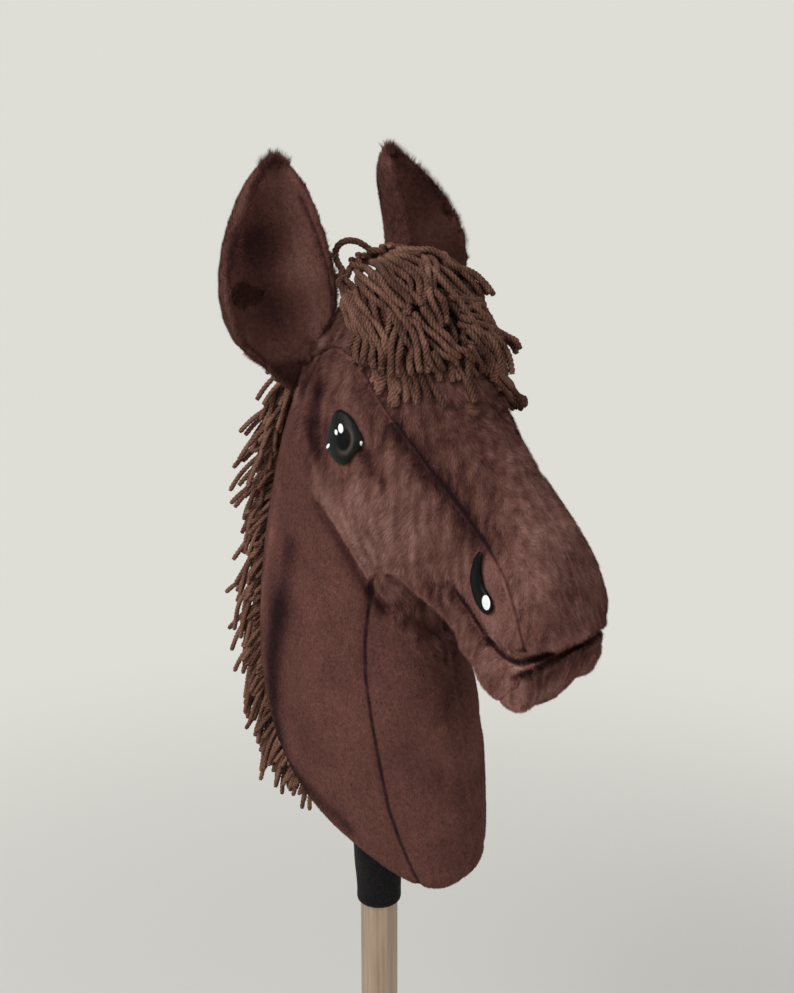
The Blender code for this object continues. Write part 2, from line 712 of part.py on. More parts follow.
def add_mane(tape_finish, yarn, collection):
    """The tape sewn down the back of the neck and the fringe of short yarn on it."""
    first, last = MANE_SPAN
    inner_first, inner_last = first + MANE_TAPE_MARGIN, last - MANE_TAPE_MARGIN
    height = TRIM_GAP + TAPE_THICKNESS
    tape = []
    for along in [first] + [row for row in ROWS if inner_first < row < inner_last] + [last]:
        half = degrees_for(along, 0, TAPE_WIDTH / 2)
        tape.append([off_skin(along, around, height) for around in spread(-half, half, MANE_TAPE_COLUMNS)])
    shell("mane_tape", tape, TAPE_THICKNESS, tape_finish, collection)

    base = height + LAYER_GAP
    rows = []
    count = MANE_LOCKS * ROWS_IN_A_LOCK
    for k, along in enumerate(spread(inner_first, inner_last, count)):
        lock, step = divmod(k, ROWS_IN_A_LOCK)
        share = step / (ROWS_IN_A_LOCK - 1)
        from_below = MANE_LOWER_END + MANE_END_STEP * k
        from_above = MANE_UPPER_END + MANE_END_STEP * (count - 1 - k)
        ends = min(1.0, from_below, from_above)
        varied = 1.0 - LOCK_TAPER * share + LOCK_VARIES * math.sin(LOCK_TURN * lock)
        reach = MANE_REACH * ends * varied
        thick = MANE_HALF_THICKNESS * ends * (0.78 + 0.22 * math.sin(math.pi * (share + 0.15)))
        back = skin(along, 0)
        out = normal(along, 0)
        down = (skin(max(along - 0.2, 0), 0) - back).normalized()
        row = []
        for side, rise in MANE_OUTLINE:
            height = base + (reach - base) * rise
            lean = MANE_LEAN * rise ** 1.5 * ends
            point = back + out * height * MM + down * MANE_DROOP * rise * rise * MM
            point.x += (side * thick + lean) * MM
            row.append(point)
        rows.append(row)
    solid_loft("mane_fringe", rows, yarn, collection)


def forelock_front(around):
    """How far forward the forelock hangs at this place round the head, counted in sections."""
    off_middle = (around - FORELOCK_MIDDLE) / FORELOCK_SIDE
    return FORELOCK_FRONT - (FORELOCK_FRONT - FORELOCK_SIDE_FRONT) * off_middle ** 2


def add_forelock(tape_finish, yarn, collection):
    """The tape sewn across the poll and the yarn that hangs from it over the forehead."""
    height = TRIM_GAP + TAPE_THICKNESS
    tape = []
    for along in spread(*FORELOCK_TAPE, FORELOCK_TAPE_ROWS):
        half = degrees_for(along, 0, FORELOCK_TAPE_HALF)
        tape.append([off_skin(along, around, height) for around in spread(-half, half, FORELOCK_TAPE_COLUMNS)])
    shell("forelock_tape", tape, TAPE_THICKNESS, tape_finish, collection)

    rows = []
    count = FORELOCK_LOCKS * ROWS_IN_A_LOCK
    tape_end = FORELOCK_TAPE[1] + 0.3
    for k, around in enumerate(spread(*FORELOCK_SIDES, count)):
        lock, step = divmod(k, ROWS_IN_A_LOCK)
        share = step / (ROWS_IN_A_LOCK - 1)
        ridge = math.sin(math.pi * (0.12 + 0.76 * share))
        ends = math.sin(math.pi * (0.08 + 0.84 * k / (count - 1))) ** 0.5
        front = forelock_front(around) - FORELOCK_END_RISE * (1 - ends)
        front += FORELOCK_UNEVEN * math.sin(LOCK_TURN * lock) + FORELOCK_LOCK_POINT * ridge
        start = FORELOCK_BACK + FORELOCK_BACK_RISE * (1 - ends)
        thick = FORELOCK_THICKNESS * ends * (0.66 + 0.34 * ridge)
        row = []
        for place in FORELOCK_UNDER:
            along = start + (front - start) * place
            over_tape = TAPE_THICKNESS + 2 * LAYER_GAP if along < tape_end else 0
            row.append(off_skin(along, around, TRIM_GAP + LAYER_GAP + over_tape))
        for place, rise in FORELOCK_OVER:
            along = start + (front - start) * place
            edge = FORELOCK_EDGE
            row.append(off_skin(along, around, edge + (thick - edge) * rise))
        rows.append(row)
    solid_loft("forelock_fringe", rows, yarn, collection)


def main():
    for old in list(bpy.data.objects):
        bpy.data.objects.remove(old)
    parts = collection_of("hobby_horse")
    helpers = collection_of("cutters")
    plush = material("brown plush", (0.20, 0.085, 0.065), 0.85)
    filling = material("polyester filling", (0.85, 0.85, 0.83), 0.9)
    wood = material("pale hardwood", (0.62, 0.50, 0.36), 0.55)
    elastic = material("black knitted elastic", (0.01, 0.01, 0.011), 0.8)
    lining = material("dark lining cloth", (0.10, 0.04, 0.035), 0.8)

    gloss = material("black gloss plastic", (0.004, 0.004, 0.004), 0.12)
    yarn = material("brown yarn", (0.085, 0.03, 0.024), 0.85)
    tape = material("brown cotton tape", (0.06, 0.025, 0.02), 0.85)
    ear_cloth = material("dark brown ear cloth", (0.085, 0.028, 0.024), 0.85)

    room = MOUTH_EASE + LINING_THICKNESS + LAYER_GAP
    clear = STICK_DIAMETER / 2 + SLEEVE_CLEARANCE + SLEEVE_WALL + LAYER_GAP
    top = STICK_IN_HEAD + STICK_END_GAP + SLEEVE_WALL + LAYER_GAP
    wide = CUFF_TOP_RADIUS + LAYER_GAP
    shoulder = CUFF_HEIGHT + LAYER_GAP
    bore = turned(
        "stick_bore",
        [(0, top), (clear, top), (clear, shoulder), (wide, shoulder), (wide, 0), (0, 0)],
        CUFF_SIDES, None, helpers,
    )
    bore.location.z = STICK_SHOWING * MM
    cutters = {
        "mouth": as_cutter(mouth_wedge("mouth_slit", MOUTH_EASE, helpers)),
        "lining_room": as_cutter(mouth_wedge("mouth_room", room, helpers)),
        "bore": as_cutter(bore),
    }

    add_stick(wood, parts)
    add_cuff(elastic, parts)
    add_sleeve(lining, parts)
    add_fillings(cutters, filling, parts, helpers)
    add_mouth_lining(lining, cutters, parts, helpers)
    panels = {}
    for name, side in (("right", 1), ("left", -1)):
        panels[name] = add_side_panel("side_panel_" + name, side, plush, cutters, parts)
    add_forehead_gusset(plush, parts)
    add_chin_gusset(plush, parts)
    add_throat_gusset(plush, parts)
    add_neck_base(cutters, plush, parts)
    add_ears(plush, ear_cloth, parts, helpers)
    for name, side in (("right", 1), ("left", -1)):
        add_patch(
            "eye_" + name, side, EYE_PLACE, EYE_CENTRE, EYE_OUTLINE, EYE_HEIGHT, EYE_DOME,
            panels[name], gloss, parts,
        )
        add_patch(
            "nostril_" + name, side, NOSTRIL_PLACE, NOSTRIL_CENTRE, NOSTRIL_OUTLINE,
            NOSTRIL_HEIGHT, NOSTRIL_DOME, panels[name], gloss, parts,
        )
    add_mane(tape, yarn, parts)
    add_forelock(tape, yarn, parts)

    head = bpy.data.objects.new("head", None)
    head.location.z = STICK_SHOWING * MM
    parts.objects.link(head)
    for piece in parts.objects:
        if piece.type == "MESH" and piece.name != "stick":
            piece.parent = head
            piece.matrix_parent_inverse = Matrix.Translation(-head.location)


main()
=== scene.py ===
# A plush hobby horse: a stuffed, sewn horse's head with a yarn mane, on a round wooden stick.
# Right is -X, the horse looks along -Y, and the stick stands on the floor at the origin.
import math

import bmesh
import bpy
import numpy as np
from mathutils import Matrix, Vector, noise
from mathutils.bvhtree import BVHTree
from mathutils.kdtree import KDTree


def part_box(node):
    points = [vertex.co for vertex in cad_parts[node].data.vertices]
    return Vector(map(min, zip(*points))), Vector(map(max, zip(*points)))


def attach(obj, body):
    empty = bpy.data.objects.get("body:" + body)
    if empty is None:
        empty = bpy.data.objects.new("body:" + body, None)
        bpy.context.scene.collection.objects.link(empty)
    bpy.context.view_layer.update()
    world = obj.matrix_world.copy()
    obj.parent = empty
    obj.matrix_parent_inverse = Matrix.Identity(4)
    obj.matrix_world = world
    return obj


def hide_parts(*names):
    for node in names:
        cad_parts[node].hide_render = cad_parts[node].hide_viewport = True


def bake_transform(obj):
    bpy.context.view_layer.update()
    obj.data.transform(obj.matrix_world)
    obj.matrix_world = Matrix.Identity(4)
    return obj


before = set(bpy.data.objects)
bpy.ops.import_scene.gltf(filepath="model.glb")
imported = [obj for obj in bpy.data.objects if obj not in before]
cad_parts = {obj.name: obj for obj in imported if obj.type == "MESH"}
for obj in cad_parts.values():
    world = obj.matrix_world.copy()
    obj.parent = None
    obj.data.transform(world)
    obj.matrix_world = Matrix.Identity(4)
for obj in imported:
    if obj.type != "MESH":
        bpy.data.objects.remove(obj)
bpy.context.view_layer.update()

MM = 0.001
RANDOM = np.random.default_rng(7)

# The photograph's frame and the place it was taken from.
PHOTO_WIDE = 794
PHOTO_HIGH = 993
FOCAL_LENGTH_PX = 1400
CAMERA_PLACE = Vector((-0.621, -0.537, 1.009))
CAMERA_AZIMUTH = -50
CAMERA_ELEVATION = 18
SENSOR = 36.0

HEAD_SOLIDS = (
    "side_panel_right",
    "side_panel_left",
    "forehead_gusset",
    "chin_gusset",
    "throat_gusset",
    "neck_base",
    "neck_stuffing",
    "head_stuffing",
    "mouth_lining",
)
SEAMS = (
    ("side_panel_right", "forehead_gusset"),
    ("side_panel_left", "forehead_gusset"),
    ("side_panel_right", "throat_gusset"),
    ("side_panel_left", "throat_gusset"),
    ("side_panel_right", "chin_gusset"),
    ("side_panel_left", "chin_gusset"),
    ("throat_gusset", "chin_gusset"),
    ("side_panel_right", "side_panel_left"),
    ("neck_base", "side_panel_right"),
    ("neck_base", "side_panel_left"),
    ("neck_base", "throat_gusset"),
)
MOULDED = ("eye_right", "eye_left", "nostril_right", "nostril_left")
HELD_PIECES = MOULDED + ("mane_tape", "forelock_tape")

# Plush: how the skin is welded from its panels, stuffed and sewn.
LIP_VOXEL = 2.2 * MM
LIP_FILL = 1.6 * MM
PILE_ROOM = 0.8 * MM
SKIN_VOXEL = 3.0 * MM
STUFFING_PRESSURE = 4.0
MOST_SWELL = 2.2 * MM
SEAM_DEPTH = 1.2 * MM
SEAM_WIDTH = 2.2 * MM
EAR_VOXEL = 1.7 * MM

# Where the head's long pile begins: a plane from below the jaw up to the nape, as height, slope and place.
HEAD_PLANE = (0.743, 1.73, -0.003)

# Yarn: four plies laid together, whose section goes out on each ply and in between two.
# Each yarn's radius, how much painted shade darkens it deep in its fringe, and how much painted light makes
# it paler all over.
FORELOCK_YARN = (2.2 * MM, 0.24, 0.0)
MANE_YARN = (1.8 * MM, 0.04, 0.09)
YARN_TURN = 11.0 * MM
YARN_STEP = 1.5 * MM
PLIES = (1.0, 0.84, 0.84) * 4

# The pale background that the photograph shows, for the floor and for what lies beyond it.
BACKDROP = "#DEDDD6"
# Soft light from all round, and each lamp's place, width in metres, power in watts and colour.
WORLD_LIGHT = 0.5
LIT_PLACE = Vector((0, 0, 0.75))
LAMPS = (
    ("window_light", (-1.45, 0.15, 1.75), 1.2, 24, "#FFFFFF"),
    ("room_light", (-0.5, -1.9, 1.3), 1.4, 5, "#FFF6EC"),
    ("back_light", (0.8, 0.9, 1.9), 1.2, 6, "#FFFFFF"),
)


def rgb(code):
    """An sRGB hex colour as the linear colour that a shader takes."""
    parts = [int(code[i:i + 2], 16) / 255 for i in (1, 3, 5)]
    return tuple(p / 12.92 if p <= 0.04045 else ((p + 0.055) / 1.055) ** 2.4 for p in parts) + (1.0,)


def add(finish, kind, inputs=None, **settings):
    """Adds a shader node with its settings, values and links. A node given as a value is its first output."""
    made = finish.node_tree.nodes.new("ShaderNode" + kind)
    for name, value in settings.items():
        setattr(made, name, value)
    for socket, value in (inputs or {}).items():
        if isinstance(value, bpy.types.Node):
            value = value.outputs[0]
        if isinstance(value, bpy.types.NodeSocket):
            finish.node_tree.links.new(value, made.inputs[socket])
        else:
            made.inputs[socket].default_value = value
    return made


def new_material(name):
    """An empty material, and the place on the piece that its patterns go by."""
    finish = bpy.data.materials.new(name)
    finish.use_nodes = True
    finish.node_tree.nodes.clear()
    return finish, add(finish, "TexCoord").outputs["Object"]


def coated(finish, value, stops, looks, bump=None):
    """Ends a finish: the colours that a value runs through, how it takes light, and what stands out of it.

    A bump is the height's socket, its strength and how far it reaches in metres.
    """
    colour = add(finish, "ValToRGB", {"Fac": value})
    band = colour.color_ramp.elements
    while len(band) < len(stops):
        band.new(0.5)
    for element, (place, code) in zip(band, stops):
        element.position = place
        element.color = rgb(code)
    values = {"Base Color": colour} | looks
    if bump:
        raised = add(finish, "Bump", dict(zip(("Height", "Strength", "Distance"), bump)))
        values["Normal"] = raised
    shader = add(finish, "BsdfPrincipled", values)
    add(finish, "OutputMaterial", {"Surface": shader})
    return finish


def show(mesh, name, finish):
    made = bpy.data.objects.new(name, mesh)
    bpy.context.scene.collection.objects.link(made)
    mesh.materials.clear()
    mesh.materials.append(finish)
    return made


def show_form(form, name, finish):
    """Makes a piece of a mesh that was edited, and lets the edited one go."""
    mesh = bpy.data.meshes.new(name)
    form.to_mesh(mesh)
    form.free()
    return show(mesh, name, finish)


def smooth(mesh):
    mesh.polygons.foreach_set("use_smooth", [True] * len(mesh.polygons))


def applied(piece):
    """The piece with its modifiers made part of its mesh."""
    graph = bpy.context.evaluated_depsgraph_get()
    mesh = bpy.data.meshes.new_from_object(piece.evaluated_get(graph))
    old = piece.data
    piece.modifiers.clear()
    piece.data = mesh
    bpy.data.meshes.remove(old)
    return piece


def joined(nodes):
    """The meshes of CAD solids as one that can be edited."""
    form = bmesh.new()
    for node in nodes:
        form.from_mesh(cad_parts[node].data)
    return form


def copied(name, nodes, finish):
    """One piece from copies of CAD solids, with each solid's loose triangles joined."""
    form = joined(nodes)
    bmesh.ops.remove_doubles(form, verts=form.verts, dist=1e-6)
    return show_form(form, name, finish)


def numbers(mesh, key):
    """The mesh's points, or its normals, as rows of three."""
    values = np.zeros(len(mesh.vertices) * 3, np.float32)
    mesh.vertices.foreach_get(key, values)
    return values.reshape(-1, 3).astype(float)


def set_points(mesh, points):
    mesh.vertices.foreach_set("co", points.astype(np.float32).ravel())
    mesh.update()


def tree_of(points):
    tree = KDTree(len(points))
    for index, point in enumerate(points):
        tree.insert(point, index)
    tree.balance()
    return tree


def far_from(points, tree):
    return np.array([tree.find(p)[2] for p in points])


def surface_of(nodes):
    """Where rays and near points meet these solids."""
    form = joined(nodes)
    made = BVHTree.FromBMesh(form)
    form.free()
    return made


def dots_on(mesh, spacing):
    """Points about that far apart all over a mesh."""
    dots = []
    for face in mesh.polygons:
        corners = [mesh.vertices[v].co for v in face.vertices[:3]]
        side = max((corners[1] - corners[0]).length, (corners[2] - corners[0]).length)
        steps = max(1, math.ceil(side / spacing))
        for i in range(steps + 1):
            for j in range(steps + 1 - i):
                dots.append(
                    corners[0]
                    + (corners[1] - corners[0]) * (i / steps)
                    + (corners[2] - corners[0]) * (j / steps)
                )
    return dots


def tree_by(nodes, spacing):
    """A tree of points about that many mm apart all over these solids."""
    return tree_of([dot for node in nodes for dot in dots_on(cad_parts[node].data, spacing * MM)])


def surface(piece):
    """Where rays and near points meet a piece."""
    return BVHTree.FromObject(piece, bpy.context.evaluated_depsgraph_get())


def wavy(points, scale=1.0, shift=(0, 0, 0)):
    """Smooth noise at points, finer the higher the scale."""
    return np.array([noise.noise(Vector(p) * scale + Vector(shift)) for p in points])


def seam_points():
    """Points along every sewn seam, from where two panels' solids come together."""
    found = []
    for one, other in SEAMS:
        near = surface_of([other])
        for dot in dots_on(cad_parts[one].data, 1.5 * MM):
            if near.find_nearest(dot, 1.25 * MM)[0] is not None:
                found.append(dot)
    return found


def attribute(mesh, name, values):
    made = mesh.attributes.get(name) or mesh.attributes.new(name, "FLOAT", "POINT")
    made.data.foreach_set("value", np.asarray(values, np.float32))


def largest_part(mesh):
    """Drops the closed pockets that a remesh leaves inside a solid."""
    form = bmesh.new()
    form.from_mesh(mesh)
    unseen = set(form.verts)
    parts = []
    while unseen:
        start = unseen.pop()
        part = [start]
        queue = [start]
        while queue:
            for edge in queue.pop().link_edges:
                for v in edge.verts:
                    if v in unseen:
                        unseen.discard(v)
                        part.append(v)
                        queue.append(v)
        parts.append(part)
    parts.sort(key=len)
    for part in parts[:-1]:
        bmesh.ops.delete(form, geom=part, context="VERTS")
    form.to_mesh(mesh)
    form.free()


def plush_skin():
    """Minky plush, a brushed pile on a knit back: matt brown, with a soft rim and darker patches."""
    finish, place = new_material("plush_skin")
    # The shade attribute carries airbrushed tones, and painted shade and painted light from the strokes.
    shade = add(finish, "Attribute", attribute_name="shade")
    patches = add(finish, "TexNoise", {"Vector": place, "Scale": 40.0, "Detail": 3.0})
    pile = add(finish, "TexNoise", {"Vector": place, "Scale": 420.0, "Detail": 2.0})
    spread = add(finish, "MapRange", {"Value": patches, "To Min": -0.12, "To Max": 0.12})
    fine = add(finish, "MapRange", {"Value": pile, "To Min": -0.14, "To Max": 0.14})
    sum_one = add(finish, "Math", {0: shade.outputs["Fac"], 1: spread}, operation="ADD")
    sum_two = add(finish, "Math", {0: sum_one, 1: fine}, operation="ADD")
    seam = add(finish, "Attribute", attribute_name="seam")
    stitch = add(
        finish,
        "MapRange",
        {"Value": seam.outputs["Fac"], "From Min": 0.3, "From Max": 1.6, "To Min": -0.36, "To Max": 0.0},
    )
    sum_three = add(finish, "Math", {0: sum_two, 1: stitch}, operation="ADD")
    looks = {
        "Roughness": 0.95,
        "Specular IOR Level": 0.08,
        "Sheen Weight": 0.2,
        "Sheen Roughness": 0.5,
        "Sheen Tint": rgb("#8A5A4E"),
    }
    return coated(finish, sum_three, PLUSH_STOPS, looks, (pile, 0.5, 0.0008))


def speckled(name, scale, stops, looks, bump=None):
    """A finish that goes from one colour to the other in fine specks, raised as its bump says."""
    finish, place = new_material(name)
    specks = add(finish, "TexNoise", {"Vector": place, "Scale": scale, "Detail": 1.0})
    return coated(finish, specks, stops, looks, bump and (specks, *bump))


def plush_fibre(name, dark, light):
    """Fibres of polyester plush: matt, each a bit paler or darker than the next, with a faint rim light."""
    looks = {
        "Roughness": 0.9,
        "Specular IOR Level": 0.06,
        "Sheen Weight": 0.12,
        "Sheen Roughness": 0.5,
        "Sheen Tint": rgb("#8A5A4E"),
    }
    return speckled(name, 700.0, ((0.3, dark), (0.7, light)), looks)


def white_paint():
    """White enamel dots on the moulded eyes: a hard, slightly uneven brushed gloss."""
    stops = ((0.3, "#ECECEA"), (0.7, "#F8F8F6"))
    return speckled("white_enamel_paint", 500.0, stops, {"Roughness": 0.35}, (0.15, 0.0001))


def black_knit():
    """Black cotton rib knit: matt and nearly without light."""
    stops = ((0.3, "#0B0A0B"), (0.7, "#1E1C1D"))
    looks = {"Roughness": 1.0, "Specular IOR Level": 0.1, "Sheen Weight": 0.05}
    return speckled("black_rib_knit", 900.0, stops, looks, (0.5, 0.0004))


# Shade 0 is the deepest brown and shade 1 the palest. The shade holds airbrushed and worn tones, and also
# painted shade and painted light.
PLUSH_STOPS = ((0.0, "#1E1112"), (0.25, "#3C2524"), (0.5, "#66423B"), (0.75, "#866057"), (1.0, "#A98277"))


def tone(shade):
    """The plush colour at a shade, as hex."""
    for (low, a), (high, b) in zip(PLUSH_STOPS, PLUSH_STOPS[1:]):
        if shade <= high:
            t = max(0.0, (shade - low) / (high - low))
            mixed = [round(int(a[i:i + 2], 16) * (1 - t) + int(b[i:i + 2], 16) * t) for i in (1, 3, 5)]
            return "#" + "".join(f"{m:02X}" for m in mixed)
    return PLUSH_STOPS[-1][1]


TONES = 9


def pile_finishes():
    """Single plush fibres, from the deepest tone to the palest."""
    return [
        plush_fibre(f"plush_pile_{i}", tone((i + 0.1) / TONES), tone((i + 0.9) / TONES))
        for i in range(TONES)
    ]


def wood():
    """Sanded, unlacquered pine dowel: pale straw brown, with fine straight grain along its length."""
    finish, place = new_material("sanded_pine")
    along = add(finish, "Mapping", {"Vector": place, "Scale": (1.0, 1.0, 0.03)})
    grain = add(finish, "TexNoise", {"Vector": along, "Scale": 600.0, "Detail": 4.0})
    broad = add(finish, "TexNoise", {"Vector": along, "Scale": 110.0, "Detail": 2.0})
    both = add(finish, "Math", {0: grain, 1: broad}, operation="ADD")
    half = add(finish, "Math", {0: both, 1: 0.5}, operation="MULTIPLY")
    stops = ((0.3, "#8C7660"), (0.5, "#A8927C"), (0.7, "#B8A48F"))
    return coated(finish, half, stops, {"Roughness": 0.55}, (grain, 0.2, 0.0003))


def gloss_black():
    """Black moulded safety eye, printed: near black, blacker in the pupil, under a hard gloss."""
    finish, place = new_material("moulded_black_gloss")
    paint = add(finish, "Attribute", attribute_name="paint")
    dimples = add(finish, "TexNoise", {"Vector": place, "Scale": 260.0, "Detail": 1.0})
    stops = ((0.0, "#070708"), (0.45, "#141414"), (1.0, "#5A5048"))
    looks = {"Roughness": 0.38, "Specular IOR Level": 0.1}
    return coated(finish, paint.outputs["Fac"], stops, looks, (dimples, 0.1, 0.0003))


def yarn_finish():
    """Acrylic wool yarn, four plies laid together: warm brown, with painted shade between the plies and
    painted light on their crowns, and a dull fuzz.
    """
    finish, place = new_material("acrylic_yarn")
    fibre = add(finish, "TexNoise", {"Vector": place, "Scale": 900.0, "Detail": 2.0})
    dye = add(finish, "TexNoise", {"Vector": place, "Scale": 60.0, "Detail": 1.0})
    both = add(finish, "Math", {0: fibre, 1: dye}, operation="ADD")
    half = add(finish, "Math", {0: both, 1: 0.5}, operation="MULTIPLY")
    ply = add(finish, "Attribute", attribute_name="ply")
    # Painted shade in the valleys between the plies and painted light on their crowns.
    painted_ply_light_and_shade = add(
        finish,
        "MapRange",
        {"Value": ply.outputs["Fac"], "From Min": 0.84, "From Max": 1.0, "To Min": -0.13, "To Max": 0.10},
    )
    sum_three = add(finish, "Math", {0: half, 1: painted_ply_light_and_shade}, operation="ADD")
    # The strand attribute brings each strand's dye, with painted light and painted shade.
    strand = add(finish, "Attribute", attribute_name="strand")
    sum_four = add(finish, "Math", {0: sum_three, 1: strand.outputs["Fac"]}, operation="ADD")
    stops = ((0.15, "#251612"), (0.4, "#583C32"), (0.7, "#8D6858"))
    looks = {
        "Roughness": 0.9,
        "Specular IOR Level": 0.1,
        "Sheen Weight": 0.15,
        "Sheen Roughness": 0.5,
        "Sheen Tint": rgb("#9A6E58"),
    }
    return coated(finish, sum_four, stops, looks, (fibre, 0.6, 0.0005))


def swell(piece, held):
    """Blows the skin out with cloth pressure, as stuffing does, and holds it where it is sewn."""
    mesh = piece.data
    before = numbers(mesh, "co")
    weights = np.clip(1.0 - held / (9 * MM), 0.0, 1.0)
    pin = piece.vertex_groups.new(name="sewn")
    for index, weight in enumerate(weights):
        pin.add([index], float(weight), "REPLACE")
    cloth = piece.modifiers.new("stuffing", "CLOTH")
    cloth.settings.quality = 4
    cloth.settings.mass = 0.3
    cloth.settings.tension_stiffness = 8
    cloth.settings.compression_stiffness = 8
    cloth.settings.bending_stiffness = 0.3
    cloth.settings.use_pressure = True
    cloth.settings.uniform_pressure_force = STUFFING_PRESSURE
    cloth.settings.vertex_group_mass = "sewn"
    cloth.settings.effector_weights.gravity = 0
    cloth.collision_settings.use_collision = False
    for step in range(1, 21):
        bpy.context.scene.frame_set(step)
    applied(piece)
    bpy.context.scene.frame_set(1)
    moved = numbers(piece.data, "co") - before
    length = np.linalg.norm(moved, axis=1)
    moved *= (np.minimum(length, MOST_SWELL) / np.maximum(length, 1e-9))[:, None]
    set_points(piece.data, before + moved)


def remeshed(piece, voxel):
    """Welds everything that touches in a piece into one closed skin."""
    weld = piece.modifiers.new("weld", "REMESH")
    weld.mode = "VOXEL"
    weld.voxel_size = voxel
    applied(piece)
    largest_part(piece.data)


def pushed(mesh, height):
    """Moves the skin out along its normals, or in where negative."""
    set_points(mesh, numbers(mesh, "co") + numbers(mesh, "normal") * height)


def relaxed(mesh, times):
    """Evens a mesh out. Each step in is followed by one out, so the form keeps its size."""
    points = numbers(mesh, "co")
    ends = np.zeros(len(mesh.edges) * 2, np.int32)
    mesh.edges.foreach_get("vertices", ends)
    a, b = ends.reshape(-1, 2).T
    count = len(points)
    meeting = np.bincount(a, minlength=count) + np.bincount(b, minlength=count)
    for _ in range(times):
        for share in (0.5, -0.53):
            beside = np.stack([
                np.bincount(a, points[b, k], count) + np.bincount(b, points[a, k], count) for k in range(3)
            ], axis=1)
            points += share * (beside / meeting[:, None] - points)
    set_points(mesh, points)


def stuffed_head(finish, seams):
    """The panels, lining and filling as one skin, swelled by its stuffing."""
    piece = copied("plush_head", HEAD_SOLIDS, finish)
    remeshed(piece, LIP_VOXEL)
    pushed(piece.data, LIP_FILL)
    remeshed(piece, SKIN_VOXEL)
    relaxed(piece.data, 6)
    pushed(piece.data, -LIP_FILL - PILE_ROOM)
    relaxed(piece.data, 12)
    points = numbers(piece.data, "co")
    held = far_from(points, seams)
    held = np.minimum(held, far_from(points, tree_by(HELD_PIECES, 3)))
    swell(piece, held)
    finer = piece.modifiers.new("finer", "SUBSURF")
    finer.levels = 1
    finer.render_levels = 1
    applied(piece)
    return piece


def sew(piece, seams):
    """Draws the seams in, and keeps how far each point is from them."""
    mesh = piece.data
    points = numbers(mesh, "co")
    normals = numbers(mesh, "normal")
    away = far_from(points, seams)
    drawn = SEAM_DEPTH * np.exp(-((away / SEAM_WIDTH) ** 2))
    set_points(mesh, points - normals * drawn[:, None])
    attribute(mesh, "seam", away / MM)
    return away


def camera_turn():
    """How the camera is turned: level, looking along its azimuth and down by its elevation."""
    turn = (math.radians(90 - CAMERA_ELEVATION), 0, math.radians(CAMERA_AZIMUTH))
    return Matrix.Rotation(turn[2], 3, "Z") @ Matrix.Rotation(turn[0], 3, "X")


def in_photo(points):
    """Where points lie in the photograph's frame, in its pixels."""
    seen = (points - np.array(CAMERA_PLACE)) @ np.array(camera_turn())
    across = PHOTO_WIDE / 2 - FOCAL_LENGTH_PX * seen[:, 0] / seen[:, 2]
    down = PHOTO_HIGH / 2 + FOCAL_LENGTH_PX * seen[:, 1] / seen[:, 2]
    return np.stack([across, down], axis=1)


def view_aim(across, down):
    """The direction from the camera to this place in the photograph's frame."""
    x = (across - PHOTO_WIDE / 2) / FOCAL_LENGTH_PX
    y = (PHOTO_HIGH / 2 - down) / FOCAL_LENGTH_PX
    return (camera_turn() @ Vector((x, y, -1))).normalized()


def seen_at(tree, across, down):
    """The point of a surface, and its normal, that lies at this place in the photograph, or nearest it."""
    aim = view_aim(across, down)
    point, facing, _, _ = tree.ray_cast(CAMERA_PLACE, aim)
    if point is None:
        reach = -CAMERA_PLACE.dot(aim)
        for _ in range(6):
            point, facing, _, _ = tree.find_nearest(CAMERA_PLACE + aim * reach)
            reach = (point - CAMERA_PLACE).dot(aim)
    return point, facing


def line_on(tree, places):
    """Points close together along a line of places in the photograph, on a surface."""
    found = []
    for (x1, y1), (x2, y2) in zip(places, places[1:]):
        steps = max(1, round(math.hypot(x2 - x1, y2 - y1) / 2.5))
        for step in range(steps + 1):
            t = step / steps
            point, _ = seen_at(tree, x1 + (x2 - x1) * t, y1 + (y2 - y1) * t)
            found.append(point)
    return found


def both_sides(points):
    """The points as if all of them were on the right of the head, so that one line serves both sides."""
    return np.stack([-np.abs(points[:, 0]), points[:, 1], points[:, 2]], axis=1)


def brushed(points, lines, tree):
    """The sum of soft strokes along lines: each has its places, its half width in mm and its strength."""
    total = np.zeros(len(points))
    right = both_sides(points)
    for places, wide, strength in lines:
        on_line = [Vector((-abs(p.x), p.y, p.z)) for p in line_on(tree, places)]
        total += strength * np.exp(-((far_from(right, tree_of(on_line)) / (wide * MM)) ** 2))
    return total


